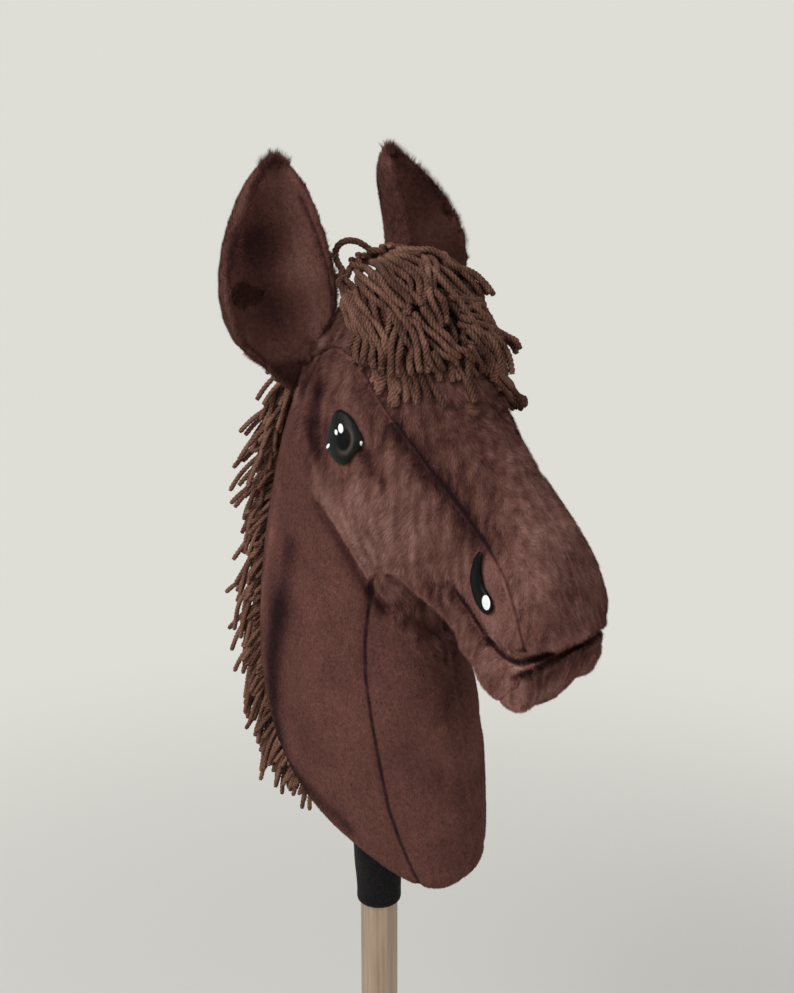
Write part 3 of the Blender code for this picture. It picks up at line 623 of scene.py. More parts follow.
# Folds pressed into the stuffed skin: places in the photograph, half width and depth in mm.
# A depth below zero stands out.
FOLDS = (
    (((318, 508), (330, 525), (345, 550), (367, 587), (386, 610)), 4.5, 6.0),
    (((386, 610), (402, 606), (420, 616), (440, 630)), 5.0, 3.0),
    (((345, 505), (362, 540), (385, 575), (405, 592)), 12.0, -3.5),
    (((449, 583), (459, 594), (470, 611), (481, 627), (490, 640)), 2.2, 3.6),
    (((490, 640), (505, 654), (519, 661), (539, 658), (563, 650), (576, 644)), 2.3, 3.2),
    (((582, 633), (600, 622)), 5.0, -3.2),
    (((590, 642), (601, 634)), 3.2, -1.2),
    (((592, 650), (586, 668)), 6.5, -2.9),
    (((548, 694), (582, 674), (596, 655)), 9.0, -2.6),
    (((462, 575), (478, 605), (497, 635)), 5.0, -1.0),
    (((474, 642), (486, 658), (496, 674)), 11.0, -7.0),
    (((512, 710), (534, 706)), 7.5, 3.0),
    (((493, 676), (504, 692)), 8.0, -2.8),
    (((570, 672), (581, 666)), 6.5, -1.6),
    (((430, 575), (446, 600), (462, 628)), 6.0, 1.4),
    (((425, 470), (450, 498), (472, 522), (484, 540)), 6.0, 2.0),
    (((440, 668), (455, 684), (466, 700)), 5.0, 0.9),
    (((466, 700), (470, 730), (462, 760)), 6.0, 0.8),
    (((430, 735), (448, 722), (462, 712)), 4.0, 0.7),
    (((455, 405), (480, 401), (505, 410)), 2.6, 1.0),
    (((470, 418), (498, 415), (517, 423)), 2.6, 0.9),
    (((560, 470), (520, 480), (500, 487)), 3.4, 1.0),
    (((545, 455), (510, 450), (480, 452)), 3.4, 1.0),
    (((415, 880), (440, 874), (465, 862)), 3.0, 0.8),
    (((326, 343), (315, 358), (307, 375)), 4.5, -3.0),
    (((335, 337), (324, 352), (314, 370), (304, 391)), 2.2, 2.4),
)

# Airbrushed and brushed patches, with painted shade in creases, folds and the mouth and painted light on the
# cheeks and along a lit edge: places in the photograph, half width in mm, and how much paler or darker.
STROKES = (
    (((320, 388), (316, 408), (313, 430), (318, 450)), 5.0, -0.26),
    # Painted light: a pale rim of sheen along the neck's edge by the mane.
    (((278, 490), (269, 547), (263, 587), (260, 626)), 5.0, 0.13),
    (((322, 388), (318, 410), (317, 432), (321, 456)), 6.5, -0.18),
    (((362, 450), (372, 462), (384, 478)), 3.6, -0.26),
    (
        ((290, 545), (283, 587), (275, 626), (272, 661), (273, 707), (283, 753), (301, 783), (347, 827)),
        8.0,
        -0.20,
    ),
    (((279, 607), (272, 661), (273, 707), (283, 753), (301, 783)), 12.0, -0.26),
    (((400, 432), (418, 455), (443, 485), (470, 520), (487, 548)), 6.5, -0.30),
    (((440, 440), (465, 470), (490, 505), (505, 535)), 16.0, -0.10),
    (((570, 560), (560, 600), (550, 630)), 22.0, -0.05),
    # Painted light: the glow of the light on the cheek, in this stroke and the next.
    (((335, 500), (350, 530), (372, 560)), 20.0, 0.19),
    (((388, 500), (405, 540)), 15.0, 0.20),
    (((432, 592), (450, 612)), 8.0, -0.12),
    # Painted shade in the two brow wrinkles that FOLDS presses in.
    (((455, 405), (480, 401), (505, 410)), 2.4, -0.18),
    (((470, 418), (498, 415), (517, 423)), 2.2, -0.14),
    (((530, 500), (545, 530)), 14.0, 0.10),
    # Painted shade in the groove of the closed lips and, in the next stroke, the shadow under the upper lip.
    (((449, 583), (470, 611), (490, 640)), 3.2, -0.30),
    (((490, 640), (505, 655), (519, 661), (539, 657), (563, 649), (588, 638), (602, 630)), 2.4, -0.52),
    (((514, 669), (530, 666), (551, 657), (575, 645), (590, 637)), 1.5, 0.34),
    # Painted shade along the lower lip's edge and, in the next stroke, on the lower lip.
    (((512, 676), (530, 672), (551, 662), (575, 650), (594, 640)), 1.3, -0.40),
    (((560, 665), (578, 657), (596, 648)), 7.0, -0.26),
    (((515, 674), (513, 686), (510, 700)), 1.4, -0.22),
    # Painted shade in the crease between jaw and neck, and along the jaw's fold in the next stroke.
    (((403, 607), (415, 618), (430, 628)), 9.0, -0.16),
    (((318, 508), (345, 550), (367, 587), (386, 612)), 3.5, -0.14),
    (((440, 650), (450, 668), (462, 690)), 9.0, -0.08),
    (((478, 720), (480, 800)), 9.0, 0.08),
    (((438, 780), (455, 800)), 10.0, -0.10),
    (((300, 600), (320, 700), (345, 780)), 26.0, 0.03),
    (((500, 665), (512, 690), (520, 704)), 7.0, 0.05),
    (((366, 380), (380, 400), (395, 420)), 9.0, -0.10),
    # Painted shade in the crease at the ear's base, and painted light on the folded lens in front of it in
    # the next stroke.
    (((335, 337), (324, 352), (314, 370), (304, 391)), 1.8, -0.30),
    (((326, 343), (315, 358), (307, 375)), 4.0, 0.10),
)

# How far the head's fibres stay off a seam, over what width they shorten towards it,
# and the height down to which the neck has any.
SEAM_BARE = 1.1 * MM
SEAM_SHORT = 4.0 * MM
PILE_FROM = 0.47


def pile_values(piece, base, away):
    """Sets each skin point's shade, its pile's length and the way it was combed."""
    mesh = piece.data
    points = numbers(mesh, "co")
    shade = 0.5 + brushed(points, STROKES, base)
    patches = wavy(points, 28.0) + 0.5 * wavy(points, 70.0)
    height, slope, place = HEAD_PLANE
    on_head = smooth_step((points[:, 2] - height - slope * (points[:, 1] - place)) / (18 * MM) + 0.5)
    shade += patches * (0.05 + 0.09 * on_head)
    shade += 0.11 * on_head - 0.05 * (1 - on_head)
    in_mouth = smooth_step(1.3 - far_from(points, tree_by(["mouth_lining"], 2)) / (1.2 * MM))
    # Painted shade: the mouth slot is darkened as if it lay in shadow.
    shade -= 0.42 * in_mouth
    shade -= 0.10 * np.exp(-((away / (2.4 * MM)) ** 2))
    off_domes = smooth_step((far_from(points, tree_by(MOULDED, 2)) - 1.5 * MM) / (9 * MM))
    muzzle = smooth_step((-points[:, 1] - 0.088) / (30 * MM))
    shade += 0.08 * muzzle
    length = (1.7 + 2.6 * on_head * (1 - 0.62 * muzzle)) * (0.35 + 0.65 * off_domes) * (1 - 0.85 * in_mouth)
    length *= 0.35 + 0.65 * smooth_step(away / SEAM_SHORT)
    gusset = np.exp(-((points[:, 0] / (27 * MM)) ** 4)) * on_head
    comb = np.zeros((len(points), 3))
    comb[:, 1] = (0.45 - 1.25 * gusset - 0.25 * muzzle) * on_head
    comb[:, 2] = -1.0
    attribute(mesh, "shade", shade)
    found = {"shade": shade, "length": length * MM, "comb": comb, "head": on_head, "mouth": in_mouth}
    return found | combed(points)


def combed(points):
    """Broad swirls and small tufts, in which a pile lies after hands have rubbed it."""
    return {"swirl": wavy(points, 55.0), "tuft": wavy(points, 260.0)}


def smooth_step(t):
    t = np.clip(t, 0.0, 1.0)
    return t * t * (3 - 2 * t)


def unit(v):
    return v / np.maximum(np.linalg.norm(v, axis=1, keepdims=True), 1e-12)


# Streaks of darker and paler fibres: about 4 mm across and 20 mm down the pile.
STREAKS = np.array([260.0, 260.0, 50.0])
# Wrinkles in an ear: about 40 mm across and 80 mm up.
WRINKLES = np.array([26.0, 26.0, 13.0])


def nap(name, piece, values, finishes, per_mm2, width, lean, keep=None, streaked=0.08):
    """Pile on a piece: thousands of single fibres, each a sliver that leans the way the plush was combed.

    The width is in mm, and lean is how many degrees a fibre stands up from the cloth.
    """
    mesh = piece.data
    mesh.calc_loop_triangles()
    faces = np.zeros(len(mesh.loop_triangles) * 3, np.int32)
    mesh.loop_triangles.foreach_get("vertices", faces)
    faces = faces.reshape(-1, 3)
    points = numbers(mesh, "co")
    normals = numbers(mesh, "normal")
    if keep is not None:
        faces = faces[keep[faces].all(axis=1)]
    a, b, c = (points[faces[:, k]] for k in range(3))
    size = np.linalg.norm(np.cross(b - a, c - a), axis=1) / 2
    count = int(size.sum() / MM ** 2 * per_mm2)
    chosen = RANDOM.choice(len(faces), count, p=size / size.sum())
    u, v = RANDOM.random((2, count, 1))
    u, v = np.where(u + v > 1, 1 - u, u), np.where(u + v > 1, 1 - v, v)
    corners = faces[chosen]

    def at(values_there):
        one, two, three = (values_there[corners[:, k]] for k in range(3))
        if values_there.ndim == 1:
            return one + u[:, 0] * (two - one) + v[:, 0] * (three - one)
        return one + u * (two - one) + v * (three - one)

    root = at(points)
    up = unit(at(normals))
    comb = at(values["comb"])
    length = at(values["length"]) * RANDOM.uniform(0.65, 1.25, count)
    tuft = at(values["tuft"])
    turn = at(values["swirl"]) * 0.9 + tuft * 0.5 + RANDOM.normal(0, 0.22, count)
    comb = unit(comb - up * (comb * up).sum(axis=1, keepdims=True))
    side = np.cross(up, comb)
    comb = comb * np.cos(turn)[:, None] + side * np.sin(turn)[:, None]
    side = np.cross(up, comb)
    tilt = np.radians(lean) * (1 + 0.5 * tuft) + RANDOM.normal(0, 0.10, count)
    tip = root + (comb * np.cos(tilt)[:, None] + up * np.sin(tilt)[:, None]) * length[:, None]
    roll = RANDOM.normal(0, 0.35, count)[:, None]
    across = (side * np.cos(roll) + up * np.sin(roll)) * (width * MM / 2)
    root = root - up * (0.15 * MM)
    corners_out = np.stack([root - across, root + across, tip], axis=1).reshape(-1, 3)
    made = bpy.data.meshes.new(name)
    made.from_pydata(corners_out, [], np.arange(count * 3).reshape(-1, 3))
    streak = wavy(root * STREAKS) * streaked
    shade = at(values["shade"]) + RANDOM.normal(0, 0.07, count) + tuft * 0.12 + streak
    tone_of = np.clip((shade * len(finishes)).astype(int), 0, len(finishes) - 1)
    piece_of_pile = show(made, name, finishes[0])
    for finish in finishes[1:]:
        made.materials.append(finish)
    made.polygons.foreach_set("material_index", tone_of.astype(np.int32))
    made.update()
    return piece_of_pile


# Folds and shading of an ear, at places of the right ear in the photograph, as for the head.
EAR_FOLDS = (
    (((334, 334), (322, 345), (311, 362), (303, 384)), 2.2, 2.4),
    (((326, 345), (315, 360), (308, 378)), 4.0, -1.6),
    (((309, 342), (303, 356), (301, 372), (301, 386)), 2.4, 2.2),
    (((291, 196), (305, 232), (313, 275)), 7.0, -1.0),
    (((240, 300), (262, 296), (285, 310)), 7.0, 1.0),
    (((301, 198), (315, 232), (326, 268), (333, 310)), 1.8, 1.1),
)
EAR_STROKES = (
    # Painted shade in the fold that EAR_FOLDS presses in.
    (((301, 198), (315, 232), (326, 268), (333, 310)), 1.5, -0.28),
    (((262, 250), (270, 300), (285, 340)), 14.0, -0.10),
    (((245, 215), (232, 260), (236, 300)), 7.0, 0.03),
    (((262, 200), (252, 235)), 8.0, -0.10),
    (((300, 240), (315, 290), (318, 325)), 8.0, 0.10),
    (((284, 185), (296, 225), (300, 262)), 9.0, 0.06),
    # Painted light on the folded lens at the ear's base, and painted shade in its crease in the next stroke.
    (((326, 345), (315, 360), (308, 378)), 4.0, 0.12),
    (((334, 334), (320, 348), (304, 380)), 1.6, -0.22),
    (((274, 172), (285, 178)), 8.0, 0.04),
)


def sewn_ear(side, finish):
    """The outer and inner cloth of an ear, sewn edge to edge and turned, as one soft piece."""
    outer, inner = f"ear_outer_{side}", f"ear_inner_{side}"
    piece = copied(f"sewn_ear_{side}", (outer, inner), finish)
    remeshed(piece, EAR_VOXEL)
    mesh = piece.data
    relaxed(mesh, 6)
    points = numbers(mesh, "co")
    normals = numbers(mesh, "normal")
    wrinkle = wavy(both_sides(points) * WRINKLES)
    ear = surface_of(["ear_outer_right", "ear_inner_right"])
    depth = 1.3 * wrinkle - brushed(points, EAR_FOLDS, ear)
    set_points(mesh, points + normals * (depth * MM)[:, None])
    from_inner = far_from(points, tree_by([inner], 3))
    from_outer = far_from(points, tree_by([outer], 3))
    inside = smooth_step((from_outer - from_inner) / (2.0 * MM) + 0.5)
    low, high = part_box(outer)
    height = (points[:, 2] - low.z) / (high.z - low.z)
    blotch = wavy(points, 34.0, (3, 1, 2))
    strokes = brushed(points, EAR_STROKES, ear) * (0.25 + 0.75 * inside)
    shade = 0.57 - 0.07 * inside + 0.2 * blotch - 0.07 * height + strokes
    attribute(mesh, "shade", shade)
    attribute(mesh, "seam", np.full(len(points), 9.0))
    comb = np.stack([np.zeros(len(points)), np.zeros(len(points)), np.ones(len(points))], axis=1)
    values = {"shade": shade, "length": (1.2 + 1.6 * (1 - inside)) * MM, "comb": comb} | combed(points)
    smooth(mesh)
    return piece, values


# An ear's edge is where the skin turns by more than this within this reach.
EDGE_REACH = 3.2 * MM
EDGE_CURVE = 0.27


def ear_edge_fuzz(name, piece, values, finishes):
    """Longer pile that stands out along an ear's sewn edge, where the seam turns the plush outwards."""
    mesh = piece.data
    points = numbers(mesh, "co")
    normals = numbers(mesh, "normal")
    centre = points.mean(axis=0)
    neighbours = tree_of(points)
    curved = []
    for point, normal in zip(points, normals):
        near = neighbours.find_range(Vector(point), EDGE_REACH)
        curved.append(1 - abs(np.mean([normals[i] @ normal for _, i, _ in near])))
    edge = np.array(curved) > EDGE_CURVE
    height = (points[:, 2] - points[:, 2].min()) / np.ptp(points[:, 2])
    rim = dict(values)
    rim["length"] = (2.2 + 3.2 * height) * MM
    rim["comb"] = normals * 0.7 + np.array([0, 0, 0.9]) + (points - centre) * 4
    return nap(name, piece, rim, finishes, 4.4, 0.32, 54, keep=edge)


# From this depth in its fringe, a strand gets no more painted shade.
DEEP = 9.0 * MM


def ply_profile(radius):
    """The section of four plies that lie together."""
    profile = bpy.data.curves.new("four_plies", "CURVE")
    profile.dimensions = "2D"
    line = profile.splines.new("POLY")
    line.points.add(len(PLIES) - 1)
    for index, share in enumerate(PLIES):
        turn = 2 * math.pi * index / len(PLIES)
        line.points[index].co = (radius * share * math.cos(turn), radius * share * math.sin(turn), 0, 1)
    line.use_cyclic_u = True
    made = bpy.data.objects.new("four_plies", profile)
    bpy.context.scene.collection.objects.link(made)
    return made


def yarn_piece(name, strands, finish, yarn, fringe):
    """Laid yarn along lines of points, each strand with its own dye and a painted lightening, and painted
    shade deep in its fringe.
    """
    radius, dark, pale = yarn
    profile = ply_profile(radius)
    rope = bpy.data.curves.new(name, "CURVE")
    rope.dimensions = "3D"
    rope.bevel_mode = "OBJECT"
    rope.bevel_object = profile
    rope.use_fill_caps = True
    rope.twist_mode = "MINIMUM"
    dye_and_painted_light = []
    for strand in map(respaced, strands):
        # Each strand's random dye, added to the painted light that makes the mane paler.
        dye_and_painted_light += [pale + RANDOM.uniform(-0.07, 0.07)] * (len(strand) * len(PLIES))
        line = rope.splines.new("POLY")
        line.points.add(len(strand) - 1)
        run = 0.0
        first = RANDOM.uniform(0, 2 * math.pi)
        for index, point in enumerate(strand):
            if index:
                run += float(np.linalg.norm(point - strand[index - 1]))
            line.points[index].co = (*point, 1)
            line.points[index].tilt = first + run / YARN_TURN * 2 * math.pi
            near_end = min(index, len(strand) - 1 - index)
            line.points[index].radius = (0.8, 1.0)[near_end > 0]
    made = bpy.data.objects.new(name, rope)
    bpy.context.scene.collection.objects.link(made)
    graph = bpy.context.evaluated_depsgraph_get()
    mesh = bpy.data.meshes.new_from_object(made.evaluated_get(graph))
    for thing in (made, profile):
        data = thing.data
        bpy.data.objects.remove(thing)
        bpy.data.curves.remove(data)
    piece = show(mesh, name, finish)
    attribute(mesh, "ply", np.resize(PLIES, len(mesh.vertices)))
    deep = []
    for point in map(Vector, numbers(mesh, "co")):
        edge, out, _, _ = fringe.find_nearest(point)
        deep.append((edge - point).dot(out))
    # Painted shade darkens the yarn deep in its fringe, where the strands lie in each other's shadow.
    attribute(mesh, "strand", np.resize(dye_and_painted_light, len(deep)) - dark * smooth_step(np.array(deep) / DEEP))
    for face in mesh.polygons:
        face.use_smooth = len(face.vertices) == 4
    return piece


def smoothed(strand, times=2):
    strand = np.array(strand)
    for _ in range(times):
        strand[1:-1] = (strand[:-2] + 2 * strand[1:-1] + strand[2:]) / 4
    return strand


def respaced(strand):
    """The same line with its points one yarn step apart, so that the plies turn evenly."""
    run = np.concatenate([[0], np.cumsum(np.linalg.norm(np.diff(strand, axis=0), axis=1))])
    marks = np.linspace(0, run[-1], max(4, round(run[-1] / YARN_STEP)))
    return smoothed(np.stack([np.interp(marks, run, strand[:, k]) for k in range(3)], axis=1), 1)


# A strand is laid in steps of this length, and its middle lies at least this far off the skin.
WALK = 2.4 * MM
LOWEST = 2.4 * MM


def lying(skin, fringe, start, aim, length, inset, wave, slack, flare):
    """A strand in the forelock: that far below its top, it turns as its lock waves, and lifts at its end."""
    point = Vector(start)
    aim = Vector(aim).normalized()
    phase, pace, swing = wave
    strand = []
    for k in range(int(length / WALK)):
        near, up, _, _ = skin.find_nearest(point)
        top = fringe.ray_cast(near + up * 60 * MM, -up)[0]
        if top is None:
            slack -= 1
            height = LOWEST
        else:
            height = max(LOWEST, (top - near).dot(up) - inset) + flare * (k * WALK / length) ** 2
        if slack < 0:
            break
        strand.append(np.array(near + up * height))
        aim = aim + Vector((0, 0, -0.05)) + up.cross(aim) * swing * math.sin(phase + k * pace)
        aim = (aim - up * aim.dot(up)).normalized()
        point = near + aim * WALK
    return smoothed(strand, 3) if len(strand) > 5 else None


def hung(skin, fringe, start, aim, length, lift, sag, wander, slack):
    """A strand of the mane: it leaves its stitch, sags, rests on the skin and ends near the fringe's form."""
    point = Vector(start)
    aim = Vector(aim).normalized()
    phase, pace = RANDOM.uniform(0, 6.28), RANDOM.uniform(0.2, 0.45)
    strand = []
    for k in range(int(length / WALK)):
        strand.append(np.array(point))
        near, up, _, _ = skin.find_nearest(point)
        if (point - near).dot(up) < lift * min(1.0, (k + 1) / 4):
            aim = aim - up * min(0.0, aim.dot(up))
            point = near + up * lift * min(1.0, (k + 1) / 4)
        edge, out, _, _ = fringe.find_nearest(point)
        if k > 5 and (point - edge).dot(out) > slack:
            break
        aim = aim + Vector((0, 0, -sag)) + up.cross(aim) * wander * math.sin(phase + k * pace)
        aim.normalize()
        point = point + aim * WALK
    return smoothed(strand)


# The forelock's uppermost strands, at places in the photograph.
LOCKS = (
    (
        (341, 268), (339, 281), (344, 303), (356, 320), (365, 338),
        (362, 359), (365, 377), (378, 390), (395, 398), (417, 398),
    ),
    ((350, 264), (369, 284), (389, 297), (400, 312), (396, 329), (389, 355), (391, 377)),
    ((356, 253), (380, 266), (395, 284), (408, 297), (414, 312)),
    ((365, 245), (384, 253), (404, 264), (419, 275), (419, 292), (414, 312)),
    ((380, 245), (406, 249), (430, 258), (428, 273), (430, 297), (441, 318), (439, 333)),
    ((395, 245), (430, 251), (456, 266), (475, 281), (486, 297), (471, 301), (449, 297)),
    ((408, 247), (445, 255), (471, 273), (497, 284), (500, 294)),
    ((460, 316), (482, 323), (504, 333), (521, 342), (529, 353)),
    ((467, 329), (488, 355), (510, 366)),
    ((482, 346), (504, 377), (521, 398), (530, 414)),
    ((471, 346), (488, 377), (510, 398), (525, 420)),
    ((425, 355), (436, 377), (440, 390)),
    ((345, 285), (352, 310), (372, 330), (380, 352), (384, 376)),
    ((400, 312), (412, 330), (418, 350), (420, 372)),
    ((414, 312), (425, 330), (446, 345), (462, 360)),
)

# How far a lock, and the loop, may stand off the forelock's form.
STANDS_OUT = 10.0 * MM
LOOP_STANDS_OUT = 20.0 * MM
# How far apart a lock's three strands lie, and how far inside the form.
LOCK_SPREAD = 4.6 * MM
LOCK_INSET = 1.2 * MM

# A single strand that stands up in a loop on top of the forelock, at places in the photograph.
LOOP = ((344, 272), (335, 262), (333, 251), (338, 243), (347, 239), (358, 240), (368, 247), (376, 256))


def beside(fringe, across, down, reach):
    """A place on a fringe's top, or up to that far off it where the photograph shows a strand stand out."""
    point, facing = seen_at(fringe, across, down)
    aim = view_aim(across, down)
    off = CAMERA_PLACE + aim * (point - CAMERA_PLACE).dot(aim) - point
    return point + off * min(1.0, reach / max(off.length, 1e-9)), facing


def loop_strand(fringe, places):
    """One strand of yarn that stands off its fringe in a loop."""
    return smoothed([np.array(beside(fringe, *place, LOOP_STANDS_OUT)[0]) for place in places], 1)


def lock_strands(fringe):
    """Three strands side by side along each line, on top of the forelock, as the photograph shows."""
    strands = []
    for places in LOCKS:
        line = []
        for (x1, y1), (x2, y2) in zip(places, places[1:]):
            steps = max(1, round(math.hypot(x2 - x1, y2 - y1) / 3.5))
            line += [(x1 + (x2 - x1) * t / steps, y1 + (y2 - y1) * t / steps) for t in range(steps)]
        found = [beside(fringe, *place, STANDS_OUT) for place in line + [places[-1]]]
        path = smoothed([np.array(p - n * LOCK_INSET) for p, n in found], 3)
        for offset in (-1, 0, 1):
            cut = len(path) - RANDOM.integers(0, 4)
            wave = RANDOM.uniform(0, 6.28)
            strand = []
            for k in range(cut):
                along = Vector(path[min(k + 1, len(path) - 1)] - path[max(k - 1, 0)]).normalized()
                out = found[k][1]
                sway = math.sin(wave + k * 0.5) * 0.6 * MM
                sink = out * abs(offset) * 1.5 * MM
                aside = out.cross(along) * (offset * LOCK_SPREAD + sway)
                strand.append(np.array(Vector(path[k]) + aside - sink))
            strands.append(smoothed(strand, 1))
    return strands


# The forelock's layers from the skin up: how many locks, and how far below the top they lie.
LAYERS = ((8, 14.0 * MM), (8, 9.8 * MM), (7, 5.6 * MM), (4, 1.6 * MM))


def forelock_strands(skin, fringe):
    """Yarn sewn down on a tape between the ears, falling over the brow in locks of three."""
    low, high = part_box("forelock_tape")
    middle = (low + high) / 2
    strands = []
    for layer, (locks, inset) in enumerate(LAYERS):
        top = layer == len(LAYERS) - 1
        for k in range(locks):
            share = (k + RANDOM.uniform(0.2, 0.8)) / locks * 2 - 1
            if top:
                share = 0.12 + 0.88 * (share + 1) / 2
            fan = math.radians(80 * share + RANDOM.normal(0, 6))
            aim = Vector((math.sin(fan), -math.cos(fan), 0.0))
            start = Vector((share * 24 * MM, middle.y + 2 * MM, high.z))
            wave = (RANDOM.uniform(0, 6.28), RANDOM.uniform(0.14, 0.26), RANDOM.uniform(0.05, 0.13))
            length = (RANDOM.uniform(82, 118) - 10 * abs(share)) * MM
            side = Vector((0, 0, 1)).cross(aim)
            for offset in (-1, 0, 1):
                strand = lying(
                    skin,
                    fringe,
                    start + side * offset * LOCK_SPREAD,
                    aim + side * offset * 0.06,
                    length + RANDOM.uniform(-9, 5) * MM,
                    inset + abs(offset) * 1.2 * MM + RANDOM.uniform(-0.5, 0.5) * MM,
                    wave,
                    RANDOM.integers(0, 5),
                    RANDOM.uniform(0, 9) * MM * top * (share > 0.2),
                )
                if strand is not None:
                    strands.append(strand)
    return strands


def back_line():
    """The middle of the mane tape, from the neck's lower end up to the poll."""
    dots = np.array([tuple(v.co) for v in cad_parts["mane_tape"].data.vertices])
    centre = np.array([0.0, -0.02, 0.70])
    turn = np.arctan2(dots[:, 2] - centre[2], dots[:, 1] - centre[1])
    steps = np.linspace(turn.min(), turn.max(), 42)
    line = []
    for low, high in zip(steps, steps[1:]):
        inside = (turn >= low - 0.02) & (turn <= high + 0.02)
        if inside.any():
            middle = dots[inside].mean(axis=0)
            middle[0] = 0.0
            line.append(middle)
    line = smoothed(line, 4)
    outward = np.gradient(line, axis=0)
    outward = unit(np.stack([np.zeros(len(line)), outward[:, 2], -outward[:, 1]], axis=1))
    return line, outward


# The mane's rows side by side, the stitches' pitch in a row, and how deep in the skin a strand starts.
MANE_ROWS = 5
MANE_PITCH = 3.1 * MM
MANE_ROOT = 3.0 * MM


def mane_strands(skin, fringe):
    """Short cut yarn along the back of the neck, which starts outwards and hangs down in clumps."""
    line, outward = back_line()
    along = np.concatenate([[0], np.cumsum(np.linalg.norm(np.diff(line, axis=0), axis=1))])
    strands = []
    count = int(along[-1] / MANE_PITCH)
    for k in range(count):
        for row in range(MANE_ROWS):
            at = (k + RANDOM.uniform(0, 1)) / count * along[-1]
            root = np.array([np.interp(at, along, line[:, i]) for i in range(3)])
            out = np.array([np.interp(at, along, outward[:, i]) for i in range(3)])
            across = (row - (MANE_ROWS - 1) / 2) / (MANE_ROWS - 1) * 2
            clump = noise.noise(Vector((at / (11 * MM), row * 0.8, 0)))
            splay = across * 1.1 + clump * 0.3 + RANDOM.normal(0, 0.12)
            root = root + np.array([across * 5.0 * MM, 0, 0]) - out * MANE_ROOT
            upper = smooth_step((at / along[-1] - 0.5) / 0.3)
            out = out * (1.0 - 0.55 * abs(across) * RANDOM.uniform(0.4, 1.0) + 0.5 * upper)
            aim = out + np.array([splay, 0, -0.6 - 0.5 * clump - 0.3 * RANDOM.random()])
            by_ear = smooth_step((at / along[-1] - 0.78) / 0.12)
            length = (RANDOM.uniform(46, 66) + 14 * by_ear) * MM
            lift = (2.4 + 4.5 * RANDOM.random()) * MM
            sag = RANDOM.uniform(0.03, 0.11) + 0.03 * by_ear
            slack = (RANDOM.uniform(2.0, 9.0) + 8.0 * upper) * MM
            wander = RANDOM.uniform(0.02, 0.09)
            strands.append(hung(skin, fringe, root, aim, length, lift, sag, wander, slack))
    return strands


# Painted spots on the right eye and nostril: middle, half width and half height in the photograph's
# frame, and tilt in degrees.
HIGHLIGHTS = (
    ("eye", (340.8, 428.4), 2.5, 4.8, 4),
    ("eye", (336.3, 432.2), 1.5, 2.7, 8),
    ("eye", (361.2, 443.4), 1.4, 2.5, 10),
    ("eye", (328.2, 446.0), 1.4, 2.7, -30),
    ("nostril", (486.2, 602.6), 4.0, 7.6, 8),
)
# The pupil's middle, half width and half height.
PUPIL = (343.4, 439.2, 6.7, 10.6)
# The nostril is glued on a little higher than its solid, from one place in the photograph to the other.
NOSTRIL_SHIFT = ((486.0, 590.0), (483.5, 584.5))
EYE_VOXEL = 0.7 * MM
PAINT_LIFT = 0.15 * MM


def moulded(name, node, finish, rise):
    """A moulded eye or nostril: the solid's outline, with its facets melted into one smooth dome."""
    piece = copied(name, (node,), finish)
    side = 1 if "left" in node else -1
    set_points(piece.data, numbers(piece.data, "co") + np.array(rise) * np.array([-side, 1, 1]))
    remeshed(piece, EYE_VOXEL)
    relaxed(piece.data, 14)
    smooth(piece.data)
    return piece


def printed_iris(points):
    """How the eye is printed: 0 in the pupil, 1 where the ring round it is palest, below and beside it."""
    across, down, wide, high = PUPIL
    seen = in_photo(both_sides(points)) - np.array([across, down])
    reach = np.hypot(seen[:, 0] / wide, seen[:, 1] / high)
    turned = (seen[:, 0] + 0.35 * seen[:, 1]) / (wide * np.maximum(reach, 0.1))
    ring = np.exp(-(((reach - 1.3) / 0.26) ** 2)) * smooth_step(0.45 + 0.55 * turned)
    return 0.45 * smooth_step((reach - 0.92) / 0.16) + 0.34 * ring


def painted_spot(name, tree, centre, wide, high, tilt, finish):
    """A thin painted oval on a moulded eye or nostril, which follows its curve."""
    form = bmesh.new()
    bmesh.ops.create_circle(form, cap_ends=True, cap_tris=False, segments=16, radius=1.0)
    bmesh.ops.poke(form, faces=form.faces[:])
    bmesh.ops.subdivide_edges(form, edges=form.edges[:], cuts=3, use_grid_fill=True)
    turn = math.radians(tilt)
    for vert in form.verts:
        x, y = vert.co.x * wide, vert.co.y * high
        across = centre[0] + x * math.cos(turn) - y * math.sin(turn)
        down = centre[1] - (x * math.sin(turn) + y * math.cos(turn))
        point, facing = seen_at(tree, across, down)
        vert.co = point + facing * PAINT_LIFT
    bmesh.ops.recalc_face_normals(form, faces=form.faces)
    return show_form(form, name, finish)


def other_side(piece, name):
    """The same piece for the left of the head."""
    form = bmesh.new()
    form.from_mesh(piece.data)
    bmesh.ops.scale(form, vec=(-1, 1, 1), verts=form.verts)
    bmesh.ops.reverse_faces(form, faces=form.faces)
    return show_form(form, name, piece.data.materials[0])


# The knit draws up a little from where the cuff's seam ends. It is cut this wide round and this tall.
HEM_RISE = 7.0 * MM
# The turned-in hem, as radius and height in mm, and the radius from which the tube widens.
HEM = ((13.0, 4.0), (13.0, 1.6), (13.4, 0.5), (14.0, 0.0), (14.6, 0.3), (14.9, 1.6), (14.9, 3.4), (14.8, 6.0))
TUBE_FROM = 14.7 * MM
TUBE_TOP_INSET = 0.6 * MM
TUBE_RINGS = 12


